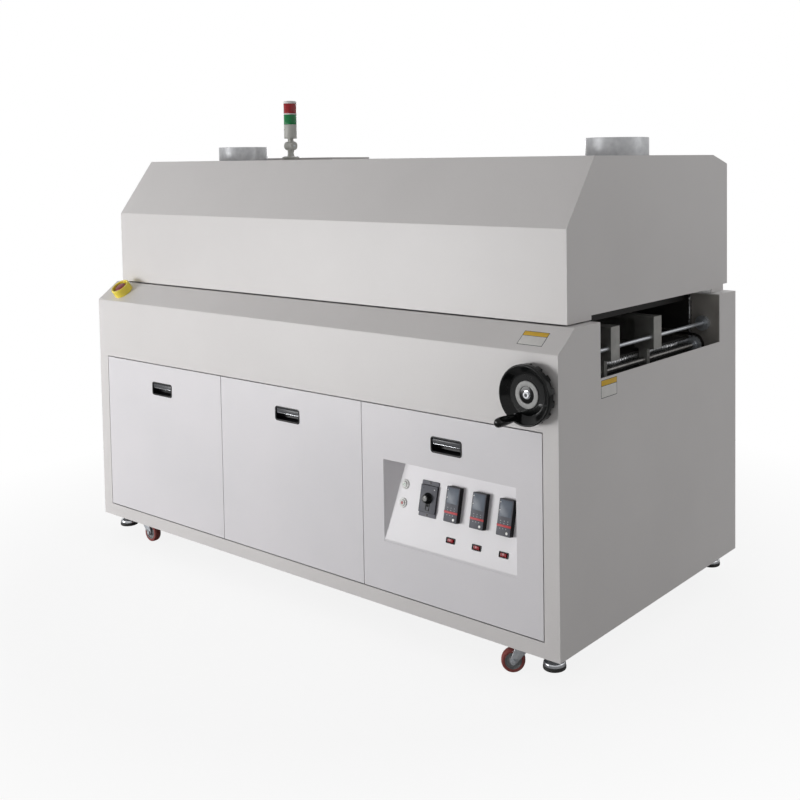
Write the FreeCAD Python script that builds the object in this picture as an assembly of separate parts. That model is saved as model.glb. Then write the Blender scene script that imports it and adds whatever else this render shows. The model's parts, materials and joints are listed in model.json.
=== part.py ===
import FreeCAD, Part

import math
import os

# Tunnel reflow oven, millimetres. +X runs along the conveyor, the doors face -Y, +Z is up.
# The origin is on the floor, under the middle of the whole outline.

V = FreeCAD.Vector

# ---- cabinet -------------------------------------------------------------------------------
LENGTH = 2040.0            # over the two end panels
DEPTH = 1016.0             # front sheet to rear panel
FLOOR_GAP = 82.0           # floor to the underside of the cabinet
BODY_HEIGHT = 851.0        # underside to the flat deck
SHOULDER_DROP = 59.0       # height of the sloped shoulder
SHOULDER_DEPTH = 78.0      # depth of the sloped shoulder
SHEET = 2.0                # thickness of the cabinet and hood sheet
CRANK_REACH = 116.0        # tip of the crank grip in front of the front sheet
GLAND_REACH = 20.0         # cable gland behind the rear panel
TUBE = 40.0                # square frame tube
TUBE_WALL = 2.5
FRAME_SETBACK = 24.0       # frame tubes behind the front sheet
GUSSET = 46.0              # corner plates that carry the levelling feet
GUSSET_THICK = 6.0
BEND = 5.0                 # outer radius of the folds in the sheet
RING_HEIGHT = 598.0        # underside of the cabinet to the upper ring of frame tubes

# ---- tunnel --------------------------------------------------------------------------------
OPENING_START = 199.0      # front sheet to the near edge of the tunnel opening
OPENING_MARGIN = 115.0     # far edge of the opening to the rear panel
OPENING_WIDTH = DEPTH - OPENING_START - OPENING_MARGIN
SLOT_MARGIN = 101.0        # side wall of the tunnel to the end of a nozzle slot
OPENING_DEPTH = 151.0      # how far the opening is cut into each end panel
WALL_SHEET = 2.0           # side walls of the tunnel
CHAMBER_INSET = 104.0      # end panel to the end of the hot-air chambers
CHAMBER_GAP = 24.0         # side wall to hot-air chamber, front side
CHAIN_SPACE = 38.0         # side wall to hot-air chamber, rear side, where the chain runs
CHAMBER_WALL = 3.0
LOWER_CHAMBER_HEIGHT = 230.0
NOZZLE_TOP = 710.0         # cabinet underside to the top of the lower nozzle plate
UPPER_NOZZLE = 830.0       # cabinet underside to the bottom of the upper nozzle plate
UPPER_CHAMBER_HEIGHT = 260.0
BLOWER_RADIUS = 60.0
BLOWER_HEIGHT = 150.0
BLOWER_HEADROOM = 49.0     # blower motors to the hood top
LINER = 13.0               # insulation board on the side walls
LINER_BOTTOM = 730.0
LINER_TOP = 843.0
SLOT_WIDTH = 16.0
SLOT_LENGTH = OPENING_WIDTH - 2 * SLOT_MARGIN
SLOT_COLUMNS = 5
HEATER_WIDTH = 60.0
HEATER_THICK = 10.0

# ---- rails, rods and screws ----------------------------------------------------------------
RAIL_INSET = 45.0          # end panel to the end of a rail
RAIL_LENGTH = LENGTH - 2 * RAIL_INSET
RAIL_WIDTH = 46.0
RAIL_BOTTOM = 721.0        # above the cabinet underside
RAIL_HEIGHT = 96.0
RAIL_WEB = 10.0
RAIL_START = 324.0         # front sheet to the fixed rail
BOARD_WIDTH = 192.0        # clear width between the rails as stored
END_BLOCK = 65.0
ROD_RADIUS = 6.0
ROD_INSET = 57.0           # end panel to a guide rod
ROD_X = LENGTH / 2 - ROD_INSET
ROD_Z = 756.0              # above the cabinet underside
SCREW_RADIUS = 8.0
SCREW_INSET = 82.0         # end panel to a lead screw
SCREW_X = LENGTH / 2 - SCREW_INSET
SCREW_Z = 686.0            # above the cabinet underside
RUNNING_FIT = 0.05         # radial clearance of turning and sliding fits
FLANGE_RADIUS = 24.0
FLANGE_THICK = 12.0
PLATE_HALF = 20.0          # square bearing plates of the lead screws
DRIVE_PLATE_HALF = 11.0
SPROCKET_RADIUS = 30.0
SPROCKET_TEETH = 14
SPROCKET_THICK = 5.0
CHAIN_WIDTH = 8.0
DRIVE_INSET = 92.0         # left end panel to the drive shaft
DRIVE_X = LENGTH / 2 - DRIVE_INSET
DRIVE_Z = 740.0
DRIVE_RADIUS = 7.0

# ---- handwheel -----------------------------------------------------------------------------
WHEEL_RADIUS = 80.0
WHEEL_REAR = 8.0           # rear face in front of the front sheet
WHEEL_FRONT = 36.0         # front of the rim
HUB_RADIUS = 36.0
HUB_FACE = 20.0
RIM_WIDTH = 11.0
SCALLOPS = 12
CRANK_RADIUS = 64.0
CRANK_ANGLE = 246.0        # degrees from +X towards +Z
GRIP_RADIUS = 13.0
CRANK_PIN = 5.0

# ---- hood ----------------------------------------------------------------------------------
HOOD_INSET = 28.0          # end panel to the hood end
HOOD_LENGTH = LENGTH - 2 * HOOD_INSET
HOOD_SEAM = 4.0            # gap between the deck and the hood
HOOD_SETBACK = 84.0        # front sheet to the hood front
HOOD_TOP_SETBACK = 220.0   # front sheet to the start of the flat top
HOOD_SLOPE = 188.0         # height of the hood's sloped front
HOOD_TOP = UPPER_NOZZLE + CHAMBER_WALL + UPPER_CHAMBER_HEIGHT + BLOWER_HEIGHT + BLOWER_HEADROOM
HOOD_BEND = HOOD_TOP - HOOD_SLOPE
HOOD_REAR_INSET = 4.0
HOOD_CHAMFER_DEPTH = 98.0
HOOD_CHAMFER_DROP = 28.0
NOTCH_HEIGHT = 12.0        # relief over the tunnel opening in the hood ends
HINGE_STEP_DEPTH = 29.0
HINGE_STEP_HEIGHT = 20.0
HINGE_INSET = 18.0         # hinge axis in front of the rear panel
HINGE_RISE = 12.0          # hinge axis above the deck
HINGE_END = 292.0          # hood end to its outer hinge
HINGE_SPACING = HOOD_LENGTH / 2 - HINGE_END
HINGE_PIN = 4.0
DUCT_RADIUS = 95.0
DUCT_HEIGHT = 54.0
DUCT_WALL = 2.0
DUCT_INSET = 133.0         # hood end to the collar axis
DUCT_BACK = 465.0          # rear panel to the collar axis
DUCT_X = HOOD_LENGTH / 2 - DUCT_INSET
DUCT_Y = DEPTH - DUCT_BACK
COVER_LENGTH = 368.0
COVER_WIDTH = 200.0
COVER_THICK = 10.0
COVER_OVERHANG = 170.0     # tower axis to the right end of the cover plate
COVER_GAP = 20.0           # tower foot to the cover plate

# ---- signal tower --------------------------------------------------------------------------
TOWER_INSET = 354.0        # left hood end to the tower axis
TOWER_BACK = 416.0         # rear panel to the tower axis
TOWER_X = TOWER_INSET - HOOD_LENGTH / 2
TOWER_Y = DEPTH - TOWER_BACK
TOWER_RADIUS = 28.0
FOOT_RADIUS = 34.0
FOOT_HEIGHT = 18.0
STEM_RADIUS = 14.0
KNUCKLE_RISE = 56.0        # hood top to the knuckle axis
KNUCKLE_RADIUS = 21.0
KNUCKLE_HALF = 26.0        # half the length of the split barrel
KNUCKLE_SPLIT = 0.15       # half the gap between its two halves
KNUCKLE_PIN = 4.0
NECK_RADIUS = 12.0
TOWER_BODY_RISE = 84.0     # hood top to the bottom of the body
TOWER_BODY_HEIGHT = 54.0
LENS_HEIGHT = 38.0
LENS_RING = 4.0
CAP_HEIGHT = 10.0

# ---- doors ---------------------------------------------------------------------------------
DOOR_MARGIN = 50.0         # end panel to the outer doors
DOOR_SPAN = LENGTH - 2 * DOOR_MARGIN
DOOR_BOTTOM = 45.0         # above the cabinet underside
DOOR_HEIGHT = 541.0
DOOR_SEAM = 3.0
DOOR_DEPTH = 18.0
DOOR_SHEET = 1.5
PIVOT_DEPTH = 6.0          # hinge axis behind the front sheet
PIVOT_RISE = 5.0           # hinge axis above the lower edge of the door
PIVOT_RADIUS = 2.0
PIVOT_NOTCH = 40.0
PIVOT_INSET = 90.0
PULL_LENGTH = 112.0
PULL_HEIGHT = 46.0
PULL_RISE = 457.0          # lower edge of the door to the middle of the pull
PULL_FRAME = 4.0
PULL_PROUD = 1.5
PULL_DEPTH = 26.0
FLAP_HEIGHT = 13.0
FLAP_THICK = 2.5
FLAP_PIN = 1.5

# ---- control recess in the right door ------------------------------------------------------
RECESS_LENGTH = 476.0
RECESS_HEIGHT = 240.0
RECESS_RISE = 146.0        # lower edge of the door to the lower edge of the recess
RECESS_TILT = 12.5         # degrees, the plate leans back towards its top
RECESS_FLARES = (0.85, 0.6)  # left and right side walls run inwards by these shares of the depth
TRAY_SHEET = 1.5
BUTTON_X = -186.0          # from the middle of the door
BUTTON_HEIGHTS = (118.0, 170.0)
BUTTON_RING = 14.0
BUTTON_RADIUS = 9.0
BUTTON_TRAVEL = 3.0
SPEED_X = -91.0
SPEED_RISE = 145.0
SPEED_WIDTH = 62.0
SPEED_HEIGHT = 99.0
SPEED_PROUD = 7.0
SPEED_AXLE = -5.0
KNOB_RADIUS = 14.0
KNOB_RISE = 147.0
SPINDLE = 3.0
ZONE_X = 3.0               # first zone controller
ZONE_PITCH = 92.0
ZONE_RISE = 147.0
ZONE_WIDTH = 48.0
ZONE_HEIGHT = 96.0
ZONE_PROUD = 16.0
ZONE_BODY_DEPTH = 80.0
ROCKER_RISE = 49.0
ROCKER_WIDTH = 32.0
ROCKER_HEIGHT = 16.0
ROCKER_AXLE = 1.5
ROCKER_SEAT = 2.0          # axle behind the face of the plate
ROCKER_TILT = 7.0          # degrees to either side of level

# ---- emergency stop ------------------------------------------------------------------------
ESTOP_INSET = 102.0        # left end panel to the emergency stop
ESTOP_X = ESTOP_INSET - LENGTH / 2
ESTOP_RADIUS = 34.0
ESTOP_HEIGHT = 30.0
ESTOP_WALL = 7.0
ESTOP_HEAD = 21.0
ESTOP_STEM = 8.0
ESTOP_TRAVEL = 6.0

# ---- feet and casters ----------------------------------------------------------------------
FOOT_INSET_X = 60.0
FOOT_INSET_Y = 60.0
PAD_RADIUS = 31.0
PAD_DROP = 50.0            # cabinet underside to the bottom of the levelling feet
STUD_RADIUS = 8.0
CASTER_WHEEL_RADIUS = 32.5
CASTER_WHEEL_WIDTH = 25.0
CASTER_TRAIL = 25.0
CASTER_LEFT = 182.0        # left end panel to the left casters
CASTER_RIGHT = 157.0       # right end panel to the right casters
CASTERS = {
    # x, distance behind the front sheet, and the direction in which the wheel trails, in degrees
    "front_left": (CASTER_LEFT - LENGTH / 2, 60.0, 0.0),
    "front_right": (LENGTH / 2 - CASTER_RIGHT, 50.0, 218.2),
    "rear_left": (CASTER_LEFT - LENGTH / 2, DEPTH - 60.0, 160.0),
    "rear_right": (LENGTH / 2 - CASTER_RIGHT, DEPTH - 60.0, 180.0),
}

# ---- electrics -----------------------------------------------------------------------------
GLAND_INSET = 120.0        # left end panel to the cable gland
GLAND_RISE = 68.0          # cabinet underside to the cable gland
GLAND_BORE = 14.0
BOARD_RISE = 120.0         # cabinet underside to the mounting plate
BOARD_HEIGHT = 280.0
BOARD_THICK = 2.0
CONTACTOR_WIDTH = 44.0
CONTACTOR_HEIGHT = 80.0
CONTACTOR_SHELF = 50.0
CONTACTOR_DEPTH = 85.0
CONTACTOR_PITCH = 60.0
RELAY_WIDTH = 50.0
RELAY_HEIGHT = 70.0
RELAY_DEPTH = 32.0
RELAY_PITCH = 70.0
TRUNKING_LENGTH = 480.0
TRUNKING_HEIGHT = 20.0
TRUNKING_DEPTH = 45.0
SUPPLY_LENGTH = 120.0
SUPPLY_HEIGHT = 85.0
SUPPLY_DEPTH = 90.0

# ---- derived places ------------------------------------------------------------------------
FRONT = (CRANK_REACH - DEPTH - GLAND_REACH) / 2.0
REAR = FRONT + DEPTH
BASE = FLOOR_GAP
DECK = BASE + BODY_HEIGHT
SHOULDER = DECK - SHOULDER_DROP
HALF = LENGTH / 2.0
INNER = HALF - SHEET
RING = BASE + RING_HEIGHT
RING_TOP = RING + TUBE
TUBE_FRONT = FRONT + FRAME_SETBACK
TUBE_REAR = REAR - SHEET
OPEN_FRONT = FRONT + OPENING_START
OPEN_REAR = OPEN_FRONT + OPENING_WIDTH
OPEN_BOTTOM = DECK - OPENING_DEPTH
CHAMBER_END = HALF - CHAMBER_INSET
CHAMBER_FRONT = OPEN_FRONT + CHAMBER_GAP
CHAMBER_REAR = OPEN_REAR - CHAIN_SPACE
NOZZLE_Z = BASE + NOZZLE_TOP
UPPER_Z = BASE + UPPER_NOZZLE
RAIL_Z = BASE + RAIL_BOTTOM
FIXED_FRONT = FRONT + RAIL_START
FIXED_REAR = FIXED_FRONT + RAIL_WIDTH
MOVING_FRONT = FIXED_REAR + BOARD_WIDTH
MOVING_REAR = MOVING_FRONT + RAIL_WIDTH
RAIL_END = RAIL_LENGTH / 2.0
ROD_LEVEL = BASE + ROD_Z
SCREW_LEVEL = BASE + SCREW_Z
DRIVE_LEVEL = BASE + DRIVE_Z
CHAIN_Y = OPEN_REAR - CHAIN_SPACE / 2.0 - SPROCKET_THICK
HOOD_Z = DECK + HOOD_SEAM
HOOD_ROOF = BASE + HOOD_TOP
HOOD_HALF = HOOD_LENGTH / 2.0
HOOD_FRONT = FRONT + HOOD_SETBACK
HOOD_REAR = REAR - HOOD_REAR_INSET
HINGE_Y = REAR - HINGE_INSET
HINGE_Z = DECK + HINGE_RISE
DOOR_Z = BASE + DOOR_BOTTOM
DOOR_WIDTH = DOOR_SPAN / 3.0
DOOR_CENTRES = {"left": -DOOR_WIDTH, "middle": 0.0, "right": DOOR_WIDTH}
MULLION = DOOR_WIDTH / 2.0
PIVOT_Y = FRONT + PIVOT_DEPTH
PIVOT_Z = DOOR_Z + PIVOT_RISE
PULL_Z = DOOR_Z + PULL_RISE
RECESS_Z = DOOR_Z + RECESS_RISE
RECESS_DEPTH = RECESS_HEIGHT * math.tan(math.radians(RECESS_TILT))
RECESS_X = DOOR_CENTRES["right"]
SLOPE_LENGTH = math.hypot(SHOULDER_DEPTH, SHOULDER_DROP)
GLAND_X = GLAND_INSET - HALF
GLAND_Z = BASE + GLAND_RISE
CASTER_PLATE = 4.0
CASTER_PIN = 5.0


# ---- small helpers -------------------------------------------------------------------------
def box(x0, x1, y0, y1, z0, z1):
    return Part.makeBox(x1 - x0, y1 - y0, z1 - z0, V(x0, y0, z0))


def rod(radius, start, end):
    start, end = V(*start), V(*end)
    return Part.makeCylinder(radius, (end - start).Length, start, end - start)


def ring(outer, inner, start, end):
    return rod(outer, start, end).cut(rod(inner, start, end))


def prism_x(points, x0, x1):
    """A (y, z) outline carried from x0 to x1."""
    wire = Part.makePolygon([V(x0, y, z) for y, z in points + points[:1]])
    return Part.Face(wire).extrude(V(x1 - x0, 0, 0))


def prism_y(points, y0, y1):
    """An (x, z) outline carried from y0 to y1."""
    wire = Part.makePolygon([V(x, y0, z) for x, z in points + points[:1]])
    return Part.Face(wire).extrude(V(0, y1 - y0, 0))


def prism_z(points, z0, z1):
    """An (x, y) outline carried from z0 to z1."""
    wire = Part.makePolygon([V(x, y, z0) for x, y in points + points[:1]])
    return Part.Face(wire).extrude(V(0, 0, z1 - z0))


def turned(points, origin=(0, 0, 0), axis=(0, 0, 1)):
    """A (radius, height) outline turned about an axis through origin."""
    wire = Part.makePolygon([V(r, 0, h) for r, h in points + points[:1]])
    shape = Part.Face(wire).revolve(V(0, 0, 0), V(0, 0, 1), 360)
    shape.Placement = FreeCAD.Placement(V(*origin), FreeCAD.Rotation(V(0, 0, 1), V(*axis)))
    return shape


def bend(shape, corners, radius):
    """Rounds the lengthwise edges of a prism that run through the given (y, z) corners."""
    edges = []
    for edge in shape.Edges:
        low, high = edge.BoundBox.YMin, edge.BoundBox.ZMin
        level = edge.BoundBox.YLength + edge.BoundBox.ZLength < 0.001
        if level and any(abs(low - y) + abs(high - z) < 0.001 for y, z in corners):
            edges.append(edge)
    return shape.makeFillet(radius, edges)


def inset(points, gap):
    """A convex outline listed anticlockwise, moved inwards by gap on every side."""
    lines = []
    for (ax, ay), (bx, by) in zip(points, points[1:] + points[:1]):
        size = math.hypot(bx - ax, by - ay)
        dx, dy = (bx - ax) / size, (by - ay) / size
        lines.append((ax - dy * gap, ay + dx * gap, dx, dy))
    corners = []
    for (px, py, dx, dy), (qx, qy, ex, ey) in zip(lines[-1:] + lines[:-1], lines):
        share = ((qx - px) * ey - (qy - py) * ex) / (dx * ey - dy * ex)
        corners.append((px + dx * share, py + dy * share))
    return corners


def fuse(shapes):
    result = shapes[0]
    for other in shapes[1:]:
        result = result.fuse(other)
    return result.removeSplitter()


def cut(shape, tools):
    for tool in tools:
        shape = shape.cut(tool)
    return shape


def export(node, shapes):
    shape = shapes[0] if len(shapes) == 1 else Part.makeCompound(shapes)
    shape.exportStep("parts/%s.step" % node)


def tube(x0, x1, y0, y1, z0, z1):
    """A square tube, open at both ends of its longest side."""
    sizes = (x1 - x0, y1 - y0, z1 - z0)
    along = sizes.index(max(sizes))
    gaps = [0.0 if i == along else TUBE_WALL for i in range(3)]
    core = box(x0 + gaps[0], x1 - gaps[0], y0 + gaps[1], y1 - gaps[1], z0 + gaps[2], z1 - gaps[2])
    return box(x0, x1, y0, y1, z0, z1).cut(core)


# ---- frame, skin and feet ------------------------------------------------------------------
def caster_plate(x, y):
    """Top plate and boss of a swivel caster, bored for its king pin."""
    top = BASE
    plate = box(x - 32, x + 32, y - 28, y + 28, top - CASTER_PLATE, top)
    boss = box(x - 14, x + 14, y - 14, y + 14, top - CASTER_PLATE - 6, top - CASTER_PLATE)
    bore = rod(CASTER_PIN + RUNNING_FIT, (x, y, top - 12), (x, y, top - 1))
    return fuse([plate, boss]).cut(bore)


def base_frame():
    z0, z1 = BASE, BASE + TUBE
    front, rear = TUBE_FRONT, TUBE_REAR
    side = INNER - TUBE
    bars = []
    for y0, y1 in ((front, front + TUBE), (rear - TUBE, rear)):
        bars.append(tube(-INNER, INNER, y0, y1, z0, z1))
        bars.append(tube(-side, side, y0, y1, RING, RING_TOP))
        for x in (-MULLION, MULLION):
            bars.append(tube(x - TUBE / 2, x + TUBE / 2, y0, y1, z1, RING))
    for x0, x1 in ((-INNER, -side), (side, INNER)):
        bars.append(tube(x0, x1, front + TUBE, rear - TUBE, z0, z1))
        bars.append(tube(x0, x1, front + TUBE, rear - TUBE, RING, RING_TOP))
        bars.append(tube(x0, x1, front, front + TUBE, z1, SHOULDER))
        bars.append(tube(x0, x1, rear - TUBE, rear, z1, DECK - SHEET))
    shelf = NOZZLE_Z - CHAMBER_WALL - LOWER_CHAMBER_HEIGHT
    for x in (-MULLION, MULLION):
        bars.append(tube(x - TUBE / 2, x + TUBE / 2, front + TUBE, rear - TUBE, z0, z1))
        bars.append(tube(x - TUBE / 2, x + TUBE / 2, front + TUBE, rear - TUBE, shelf - TUBE, shelf))
    for x0, x1 in ((-side, GUSSET - side), (side - GUSSET, side)):
        for y0, y1 in ((front + TUBE, front + TUBE + GUSSET), (rear - TUBE - GUSSET, rear - TUBE)):
            bars.append(box(x0, x1, y0, y1, z0, z0 + GUSSET_THICK))
    for name in CASTERS:
        bars.append(caster_plate(*caster_place(name)))
    return bars


def caster_place(name):
    x, depth, _ = CASTERS[name]
    return x, FRONT + depth


def body_outline():
    """Side view of the cabinet: flat back and base, vertical front and sloped shoulder."""
    return [(FRONT, BASE), (REAR, BASE), (REAR, DECK), (FRONT + SHOULDER_DEPTH, DECK), (FRONT, SHOULDER)]


def slope_point(x, along, out):
    """A point on the shoulder: distance up the slope and distance out of it."""
    y = FRONT + (SHOULDER_DEPTH * along - SHOULDER_DROP * out) / SLOPE_LENGTH
    z = SHOULDER + (SHOULDER_DROP * along + SHOULDER_DEPTH * out) / SLOPE_LENGTH
    return x, y, z


def front_panel():
    """Apron folded back over the shoulder into the deck, two stiles and a sill round the doors."""
    outline = body_outline()
    core = inset(outline, SHEET)
    shell = bend(prism_x(outline, -INNER, INNER), outline[3:], BEND)
    shell = shell.cut(bend(prism_x(core, -INNER - 1, INNER + 1), core[3:], BEND - SHEET))
    half = (DOOR_SPAN + DOOR_SEAM) / 2
    low, high = DOOR_Z - DOOR_SEAM, DOOR_Z + DOOR_HEIGHT + DOOR_SEAM
    apron = shell.common(box(-INNER, INNER, FRONT - 1, OPEN_FRONT, high, DECK))
    screw = (SCREW_X, FRONT - 1, SCREW_LEVEL), (SCREW_X, FRONT + SHEET + 1, SCREW_LEVEL)
    shaft = rod(SCREW_RADIUS + 2, *screw)
    middle = SLOPE_LENGTH / 2
    stop = rod(ESTOP_STEM + 3, slope_point(ESTOP_X, middle, -10), slope_point(ESTOP_X, middle, 2))
    sill = fuse([
        box(-INNER, INNER, FRONT, FRONT + SHEET, BASE, low),
        box(-INNER, INNER, FRONT + SHEET, TUBE_FRONT, BASE, BASE + SHEET),
    ])
    stiles = [box(*sorted((side * half, side * INNER)), FRONT, FRONT + SHEET, low, high) for side in (-1, 1)]
    return [cut(apron, [shaft, stop]), sill] + stiles


def end_panel(side):
    outline = [
        (FRONT, BASE), (REAR, BASE), (REAR, DECK), (OPEN_REAR, DECK), (OPEN_REAR, OPEN_BOTTOM),
        (OPEN_FRONT, OPEN_BOTTOM), (OPEN_FRONT, DECK), (FRONT + SHOULDER_DEPTH, DECK), (FRONT, SHOULDER),
    ]
    x0, x1 = sorted((side * INNER, side * HALF))
    return bend(prism_x(outline, x0, x1), outline[-2:], BEND)


def louvre(x, z, length, height):
    """A slot with a pressed lip that leans out over it on the inner side."""
    lip = [(TUBE_REAR, z + height), (TUBE_REAR, z + height + 2), (TUBE_REAR - 8, z + 1), (TUBE_REAR - 8, z)]
    return prism_x(lip, x - length / 2, x + length / 2)


def rear_panel():
    """Rear sheet with two banks of louvres, folded forwards into the rear strip of the deck."""
    back = box(-INNER, INNER, TUBE_REAR, REAR, BASE, DECK)
    deck = box(-INNER, INNER, OPEN_REAR, TUBE_REAR, DECK - SHEET, DECK)
    sheet = fuse([back, deck])
    lips = []
    for bank in (-1, 1):
        for row in range(6):
            x = bank * 2 * MULLION
            z = BASE + 160 + row * 40
            sheet = sheet.cut(box(x - 110, x + 110, TUBE_REAR - 1, REAR + 1, z, z + 10))
            lips.append(louvre(x, z, 216, 10))
    gland = rod(GLAND_BORE, (GLAND_X, TUBE_REAR - 1, GLAND_Z), (GLAND_X, REAR + 1, GLAND_Z))
    return fuse([sheet] + lips).cut(gland)


def hex_points(x, z, across):
    """Corners of a hexagon in the (x, z) plane, by its width across flats."""
    radius = across / math.sqrt(3)
    return [(x + radius * math.cos(math.radians(60 * i)), z + radius * math.sin(math.radians(60 * i)))
            for i in range(6)]


def levelling_foot(x, y):
    """Pad under a cone and a threaded stud, as one turned piece with the lock nut."""
    z = BASE - PAD_DROP
    outline = [(0, z), (PAD_RADIUS, z), (PAD_RADIUS, z + 24), (STUD_RADIUS, z + 32), (STUD_RADIUS, BASE),
               (0, BASE)]
    foot = fuse([turned(outline), prism_z(hex_points(0, 0, 24), BASE - 10, BASE)])
    foot.translate(V(x, y, 0))
    return foot


def levelling_feet():
    x, y0, y1 = HALF - FOOT_INSET_X, FRONT + FOOT_INSET_Y, REAR - FOOT_INSET_Y
    return [levelling_foot(*place) for place in ((-x, y0), (x, y0), (-x, y1), (x, y1))]


def caster_frame(name):
    """Place, trailing direction and axle direction of one caster, all level."""
    x, y = caster_place(name)
    angle = math.radians(CASTERS[name][2])
    trail = V(math.cos(angle), math.sin(angle), 0)
    return V(x, y, 0), trail, V(-trail.y, trail.x, 0)


def place_caster(shape, name):
    origin, trail, axle = caster_frame(name)
    turn = FreeCAD.Rotation(V(0, 0, 1), math.degrees(math.atan2(trail.y, trail.x)))
    shape.Placement = FreeCAD.Placement(origin, turn)
    return shape


def caster_fork(name):
    """Crown, two tapered legs, king pin and axle, drawn trailing towards +X."""
    crown = BASE - CASTER_PLATE - 6 - 0.3
    gap = CASTER_WHEEL_WIDTH / 2 + 1.0
    leg = 3.0
    axle = CASTER_WHEEL_RADIUS
    sides = [(-20, crown), (20, crown), (CASTER_TRAIL + 9, axle + 4), (CASTER_TRAIL + 5, axle - 8),
             (CASTER_TRAIL - 5, axle - 8), (-14, crown - 10)]
    parts = [box(-20, 20, -gap - leg, gap + leg, crown - 3, crown)]
    parts.append(rod(CASTER_PIN, (0, 0, crown - 1), (0, 0, BASE - 2)))
    for y in (-gap - leg, gap):
        parts.append(prism_y(sides, y, y + leg))
    parts.append(rod(4, (CASTER_TRAIL, -gap, axle), (CASTER_TRAIL, gap, axle)))
    for y0, y1 in ((-gap - leg - 5, -gap - leg), (gap + leg, gap + leg + 5)):
        parts.append(prism_y(hex_points(CASTER_TRAIL, axle, 13), y0, y1))
    return place_caster(fuse(parts), name)


def caster_wheel(name):
    """Wheel with bevelled edges, bored for the axle."""
    half, r, bore = CASTER_WHEEL_WIDTH / 2, CASTER_WHEEL_RADIUS, 4 + RUNNING_FIT
    outline = [(bore, -half), (r - 3, -half), (r, -half + 3), (r, half - 3), (r - 3, half), (bore, half)]
    wheel = turned(outline, (CASTER_TRAIL, 0, r), (0, 1, 0))
    return place_caster(Part.makeCompound([wheel]), name).Solids[0]


# ---- tunnel --------------------------------------------------------------------------------
def tunnel_side_walls():
    low, high = RING_TOP, DECK - SHEET
    front = box(-INNER, INNER, OPEN_FRONT - WALL_SHEET, OPEN_FRONT, low, high)
    rear = box(-INNER, INNER, OPEN_REAR, OPEN_REAR + WALL_SHEET, low, high)
    shaft = (SCREW_X, OPEN_FRONT - 3, SCREW_LEVEL), (SCREW_X, OPEN_FRONT + 1, SCREW_LEVEL)
    drive = (-DRIVE_X, OPEN_REAR - 1, DRIVE_LEVEL), (-DRIVE_X, OPEN_REAR + 3, DRIVE_LEVEL)
    return [front.cut(rod(SCREW_RADIUS + 2, *shaft)), rear.cut(rod(DRIVE_RADIUS + 2, *drive))]


def hollow_box(x0, x1, y0, y1, z0, z1, wall, open_top):
    top = z1 + 1 if open_top else z1 - wall
    bottom = z0 + wall if open_top else z0 - 1
    return box(x0, x1, y0, y1, z0, z1).cut(box(x0 + wall, x1 - wall, y0 + wall, y1 - wall, bottom, top))


def heaters(level):
    """Flat strip heaters across the chamber, two to each of the three zones."""
    bars = []
    for zone in (-1, 0, 1):
        for side in (-1, 1):
            x = zone * CHAMBER_END * 2 / 3 + side * CHAMBER_END / 6
            bars.append(box(x - HEATER_WIDTH / 2, x + HEATER_WIDTH / 2, CHAMBER_FRONT + CHAMBER_WALL,
                            CHAMBER_REAR - CHAMBER_WALL, level, level + HEATER_THICK))
    return bars


def lower_chamber():
    """Open hot-air trough with its heaters, and the insulation boards on the side walls."""
    top = NOZZLE_Z - CHAMBER_WALL
    bottom = top - LOWER_CHAMBER_HEIGHT
    trough = hollow_box(-CHAMBER_END, CHAMBER_END, CHAMBER_FRONT, CHAMBER_REAR, bottom, top, CHAMBER_WALL,
                        True)
    low, high = BASE + LINER_BOTTOM, BASE + LINER_TOP
    boards = [
        box(-CHAMBER_END, CHAMBER_END, OPEN_FRONT, OPEN_FRONT + LINER, low, high),
        box(-CHAMBER_END, CHAMBER_END, OPEN_REAR - LINER, OPEN_REAR, low, high),
    ]
    return [trough] + heaters(bottom + LOWER_CHAMBER_HEIGHT * 0.6) + boards


def nozzle_plate(z0):
    """Nozzle plate with a row of long slots over each of the three zones."""
    plate = box(-CHAMBER_END, CHAMBER_END, CHAMBER_FRONT, CHAMBER_REAR, z0, z0 + CHAMBER_WALL)
    middle = (CHAMBER_FRONT + CHAMBER_REAR) / 2
    slots = []
    for zone in (-1, 0, 1):
        for column in range(SLOT_COLUMNS):
            x = (zone * 2 / 3 + (column - (SLOT_COLUMNS - 1) / 2) / 9) * CHAMBER_END
            slots.append(box(x - SLOT_WIDTH / 2, x + SLOT_WIDTH / 2, middle - SLOT_LENGTH / 2,
                             middle + SLOT_LENGTH / 2, z0 - 1, z0 + CHAMBER_WALL + 1))
    return plate.cut(Part.makeCompound(slots))


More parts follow.
